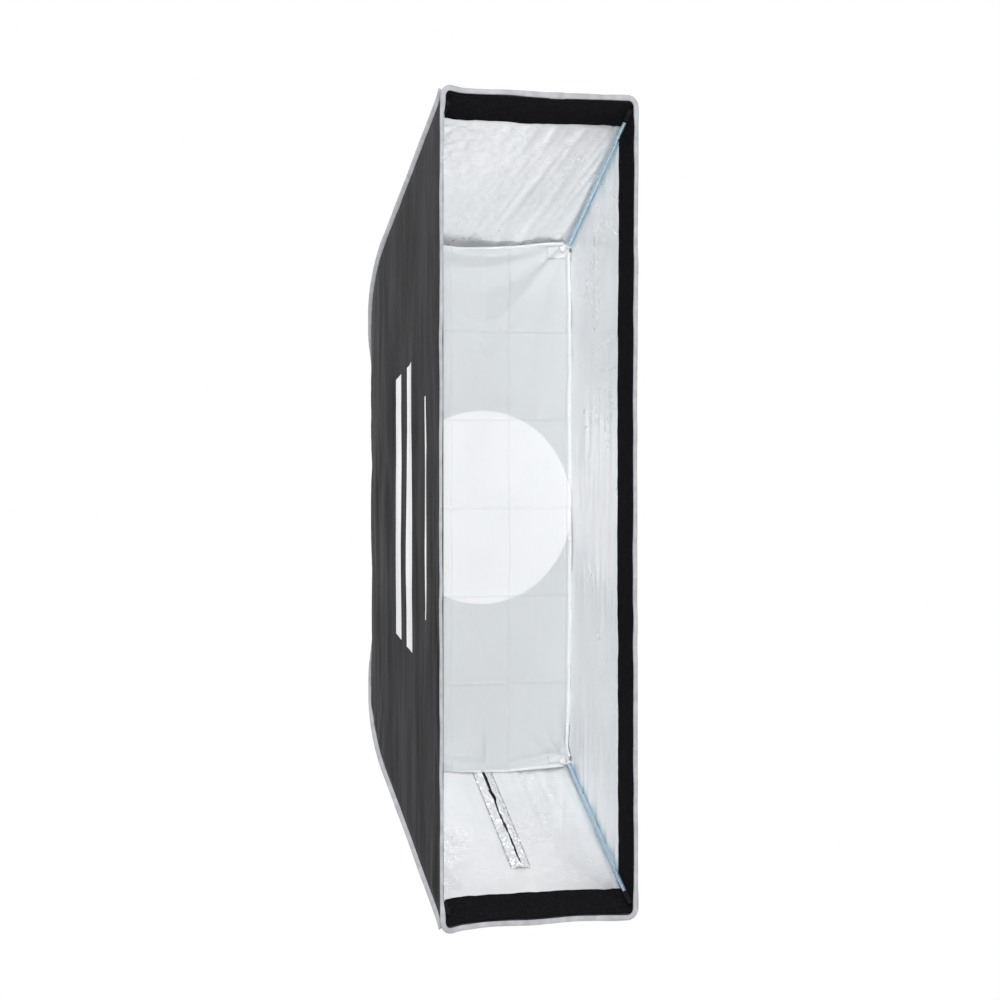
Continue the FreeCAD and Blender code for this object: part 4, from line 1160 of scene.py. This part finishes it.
def make_ties(points):
    """Elastic loop round each rod, sewn to a doubled corner patch."""
    for corner, (side_x, side_z) in CORNERS.items():
        length = length_at_depth(SHEET_FRONT + DEPTH, ROD_INSET)
        centre = seam(corner, np.array([length]), ROD_INSET)[0]
        back = seam_axes(corner)[1]
        first = unit(np.cross(back, np.array([1.0, 0, 0])))
        second = np.cross(back, first)
        turn = turns(32)
        ring = centre + TIE_RADIUS * (np.cos(turn)[:, None] * first
                                  + np.sin(turn)[:, None] * second)
        loop = sweep("tie_loop_" + corner, ring, ring - centre, oval(*LOOP_SIZE, 10, 0.8),
                     True, MATERIALS["hem_cloth"])
        put(loop, "diffuser_cloth", "diffuser_tie_" + corner)
        inwards = np.array([-side_x * 0.9, 0, -side_z * 0.42])
        inner = centre + inwards * STRAP_LENGTH
        inner[1] = SHEET_FRONT - 0.004
        share = np.linspace(0, 1, 12)[:, None]
        start = centre + unit(inwards) * (TIE_RADIUS + 0.0003)
        path = start * (1 - share) + inner * share
        path[:, 1] -= 0.002 * np.sin(math.pi * share[:, 0])
        strap = sweep("tie_strap_" + corner, path, np.array([[0, 0, 1.0]]) + path * 0,
                      oval(*STRAP_SIZE, 12, 0.7), material=MATERIALS["hem_cloth"])
        put(strap, "diffuser_cloth")
        across = np.linspace(0.003, 0.034, 14)[:, None]
        down = np.linspace(0.002, 0.019, 9)[None]
        keep_in = CORNER_CUT * 0.75
        x = side_x * (SHEET_HALF[0] - keep_in[0] - across + 0.004)
        z = side_z * (SHEET_HALF[1] - keep_in[1] - down + 0.006)
        x, z = np.broadcast_arrays(x, z)
        crumple = soft_noise(x / 0.006, z / 0.005, 211)[..., None] * np.array([0, 0.0004, 0])
        patch = sample_sheet(points, x, z, 0.0016) + crumple
        obj = grid_object("corner_patch_" + corner, patch, np.stack([x, z], -1),
                          material=MATERIALS["diffuser_cloth"])
        thicken(obj, 0.0005)
        put(obj, "diffuser_cloth")


# ---- stage, light, camera
AMBIENT = 0.42
FLOOR_HALF = 2.6
FLOOR_LEVEL = -MOUTH_H / 2 - 0.9
CAMERA_AZIMUTH = math.radians(-22.23)
CAMERA_ELEVATION = math.radians(0.95)
CAMERA_DISTANCE = 4.345
CAMERA_LENS = 108.1
AIM_OFFSET = Vector((-0.0649, 0, 0.0127))


def make_camera():
    """Camera at the measured place: aimed near the mouth's centre."""
    aim = Vector((0, -DEPTH, 0)) + AIM_OFFSET
    back = Vector((math.sin(CAMERA_AZIMUTH) * math.cos(CAMERA_ELEVATION),
                   -math.cos(CAMERA_AZIMUTH) * math.cos(CAMERA_ELEVATION),
                   math.sin(CAMERA_ELEVATION)))
    data = bpy.data.cameras.new("camera")
    data.lens = CAMERA_LENS
    data.sensor_width = 36
    camera = add_object("camera", data)
    camera.location = aim + back * CAMERA_DISTANCE
    camera.rotation_euler = back.to_track_quat("Z", "Y").to_euler()
    bpy.context.scene.camera = camera


def make_stage():
    """Pale floor well below the part."""
    ends = np.array([-FLOOR_HALF, FLOOR_HALF])
    points = stacked(ends[:, None], ends[None], FLOOR_LEVEL)
    made = Shader("floor_paint", (0.8, 0.8, 0.8), 0.95, Specular_IOR_Level=0.0)
    made.ramp(made.noise(made.coordinates(), 2, 3), "Base Color",
              (0.79, 0.79, 0.79), (0.82, 0.82, 0.82))
    grid_object("floor", points, material=made.material)


def area_light(name, location, target, size, power):
    """Rectangular soft light aimed at a point."""
    data = bpy.data.lights.new(name, "AREA")
    data.shape = "RECTANGLE"
    data.size, data.size_y = size
    data.energy = power
    light = add_object(name, data)
    light.location = location
    away = Vector(location) - Vector(target)
    light.rotation_euler = away.to_track_quat("Z", "Y").to_euler()


def make_lights():
    """White surround that looks bright to the camera and lights more gently."""
    world = bpy.data.worlds.new("studio")
    bpy.context.scene.world = world
    world.use_nodes = True
    tree = world.node_tree
    seen = tree.nodes["Background"]
    lighting = tree.nodes.new("ShaderNodeBackground")
    for shade, color, strength in ((seen, (1, 1, 1, 1), 1.0),
                                   (lighting, (0.97, 0.985, 1, 1), AMBIENT)):
        shade.inputs["Color"].default_value = color
        shade.inputs["Strength"].default_value = strength
    rays = tree.nodes.new("ShaderNodeLightPath")
    mix = tree.nodes.new("ShaderNodeMixShader")
    tree.links.new(rays.outputs["Is Camera Ray"], mix.inputs["Fac"])
    tree.links.new(lighting.outputs["Background"], mix.inputs[1])
    tree.links.new(seen.outputs["Background"], mix.inputs[2])
    tree.links.new(mix.outputs["Shader"], tree.nodes["World Output"].inputs["Surface"])
    area_light("front_left_soft", (-1.5, -4.85, 1.5), (0, -0.25, 0), (1.0, 1.3), 245)
    area_light("right_high_soft", (2.4, -2.6, 1.9), (0, -0.3, -0.3), (0.9, 0.9), 30)
    area_light("left_high_soft", (-2.6, 0.9, 1.7), (-0.15, -0.2, 0.5), (0.9, 0.9), 60)
    bpy.context.scene.view_settings.view_transform = "Standard"


make_camera()
make_stage()
make_lights()
dress_cad_nodes()
make_walls()
make_lips()
make_pockets()
make_front_binding()
make_seam_bindings()
make_collar()
make_zip_facings()
make_zip_details()
make_diffuser()
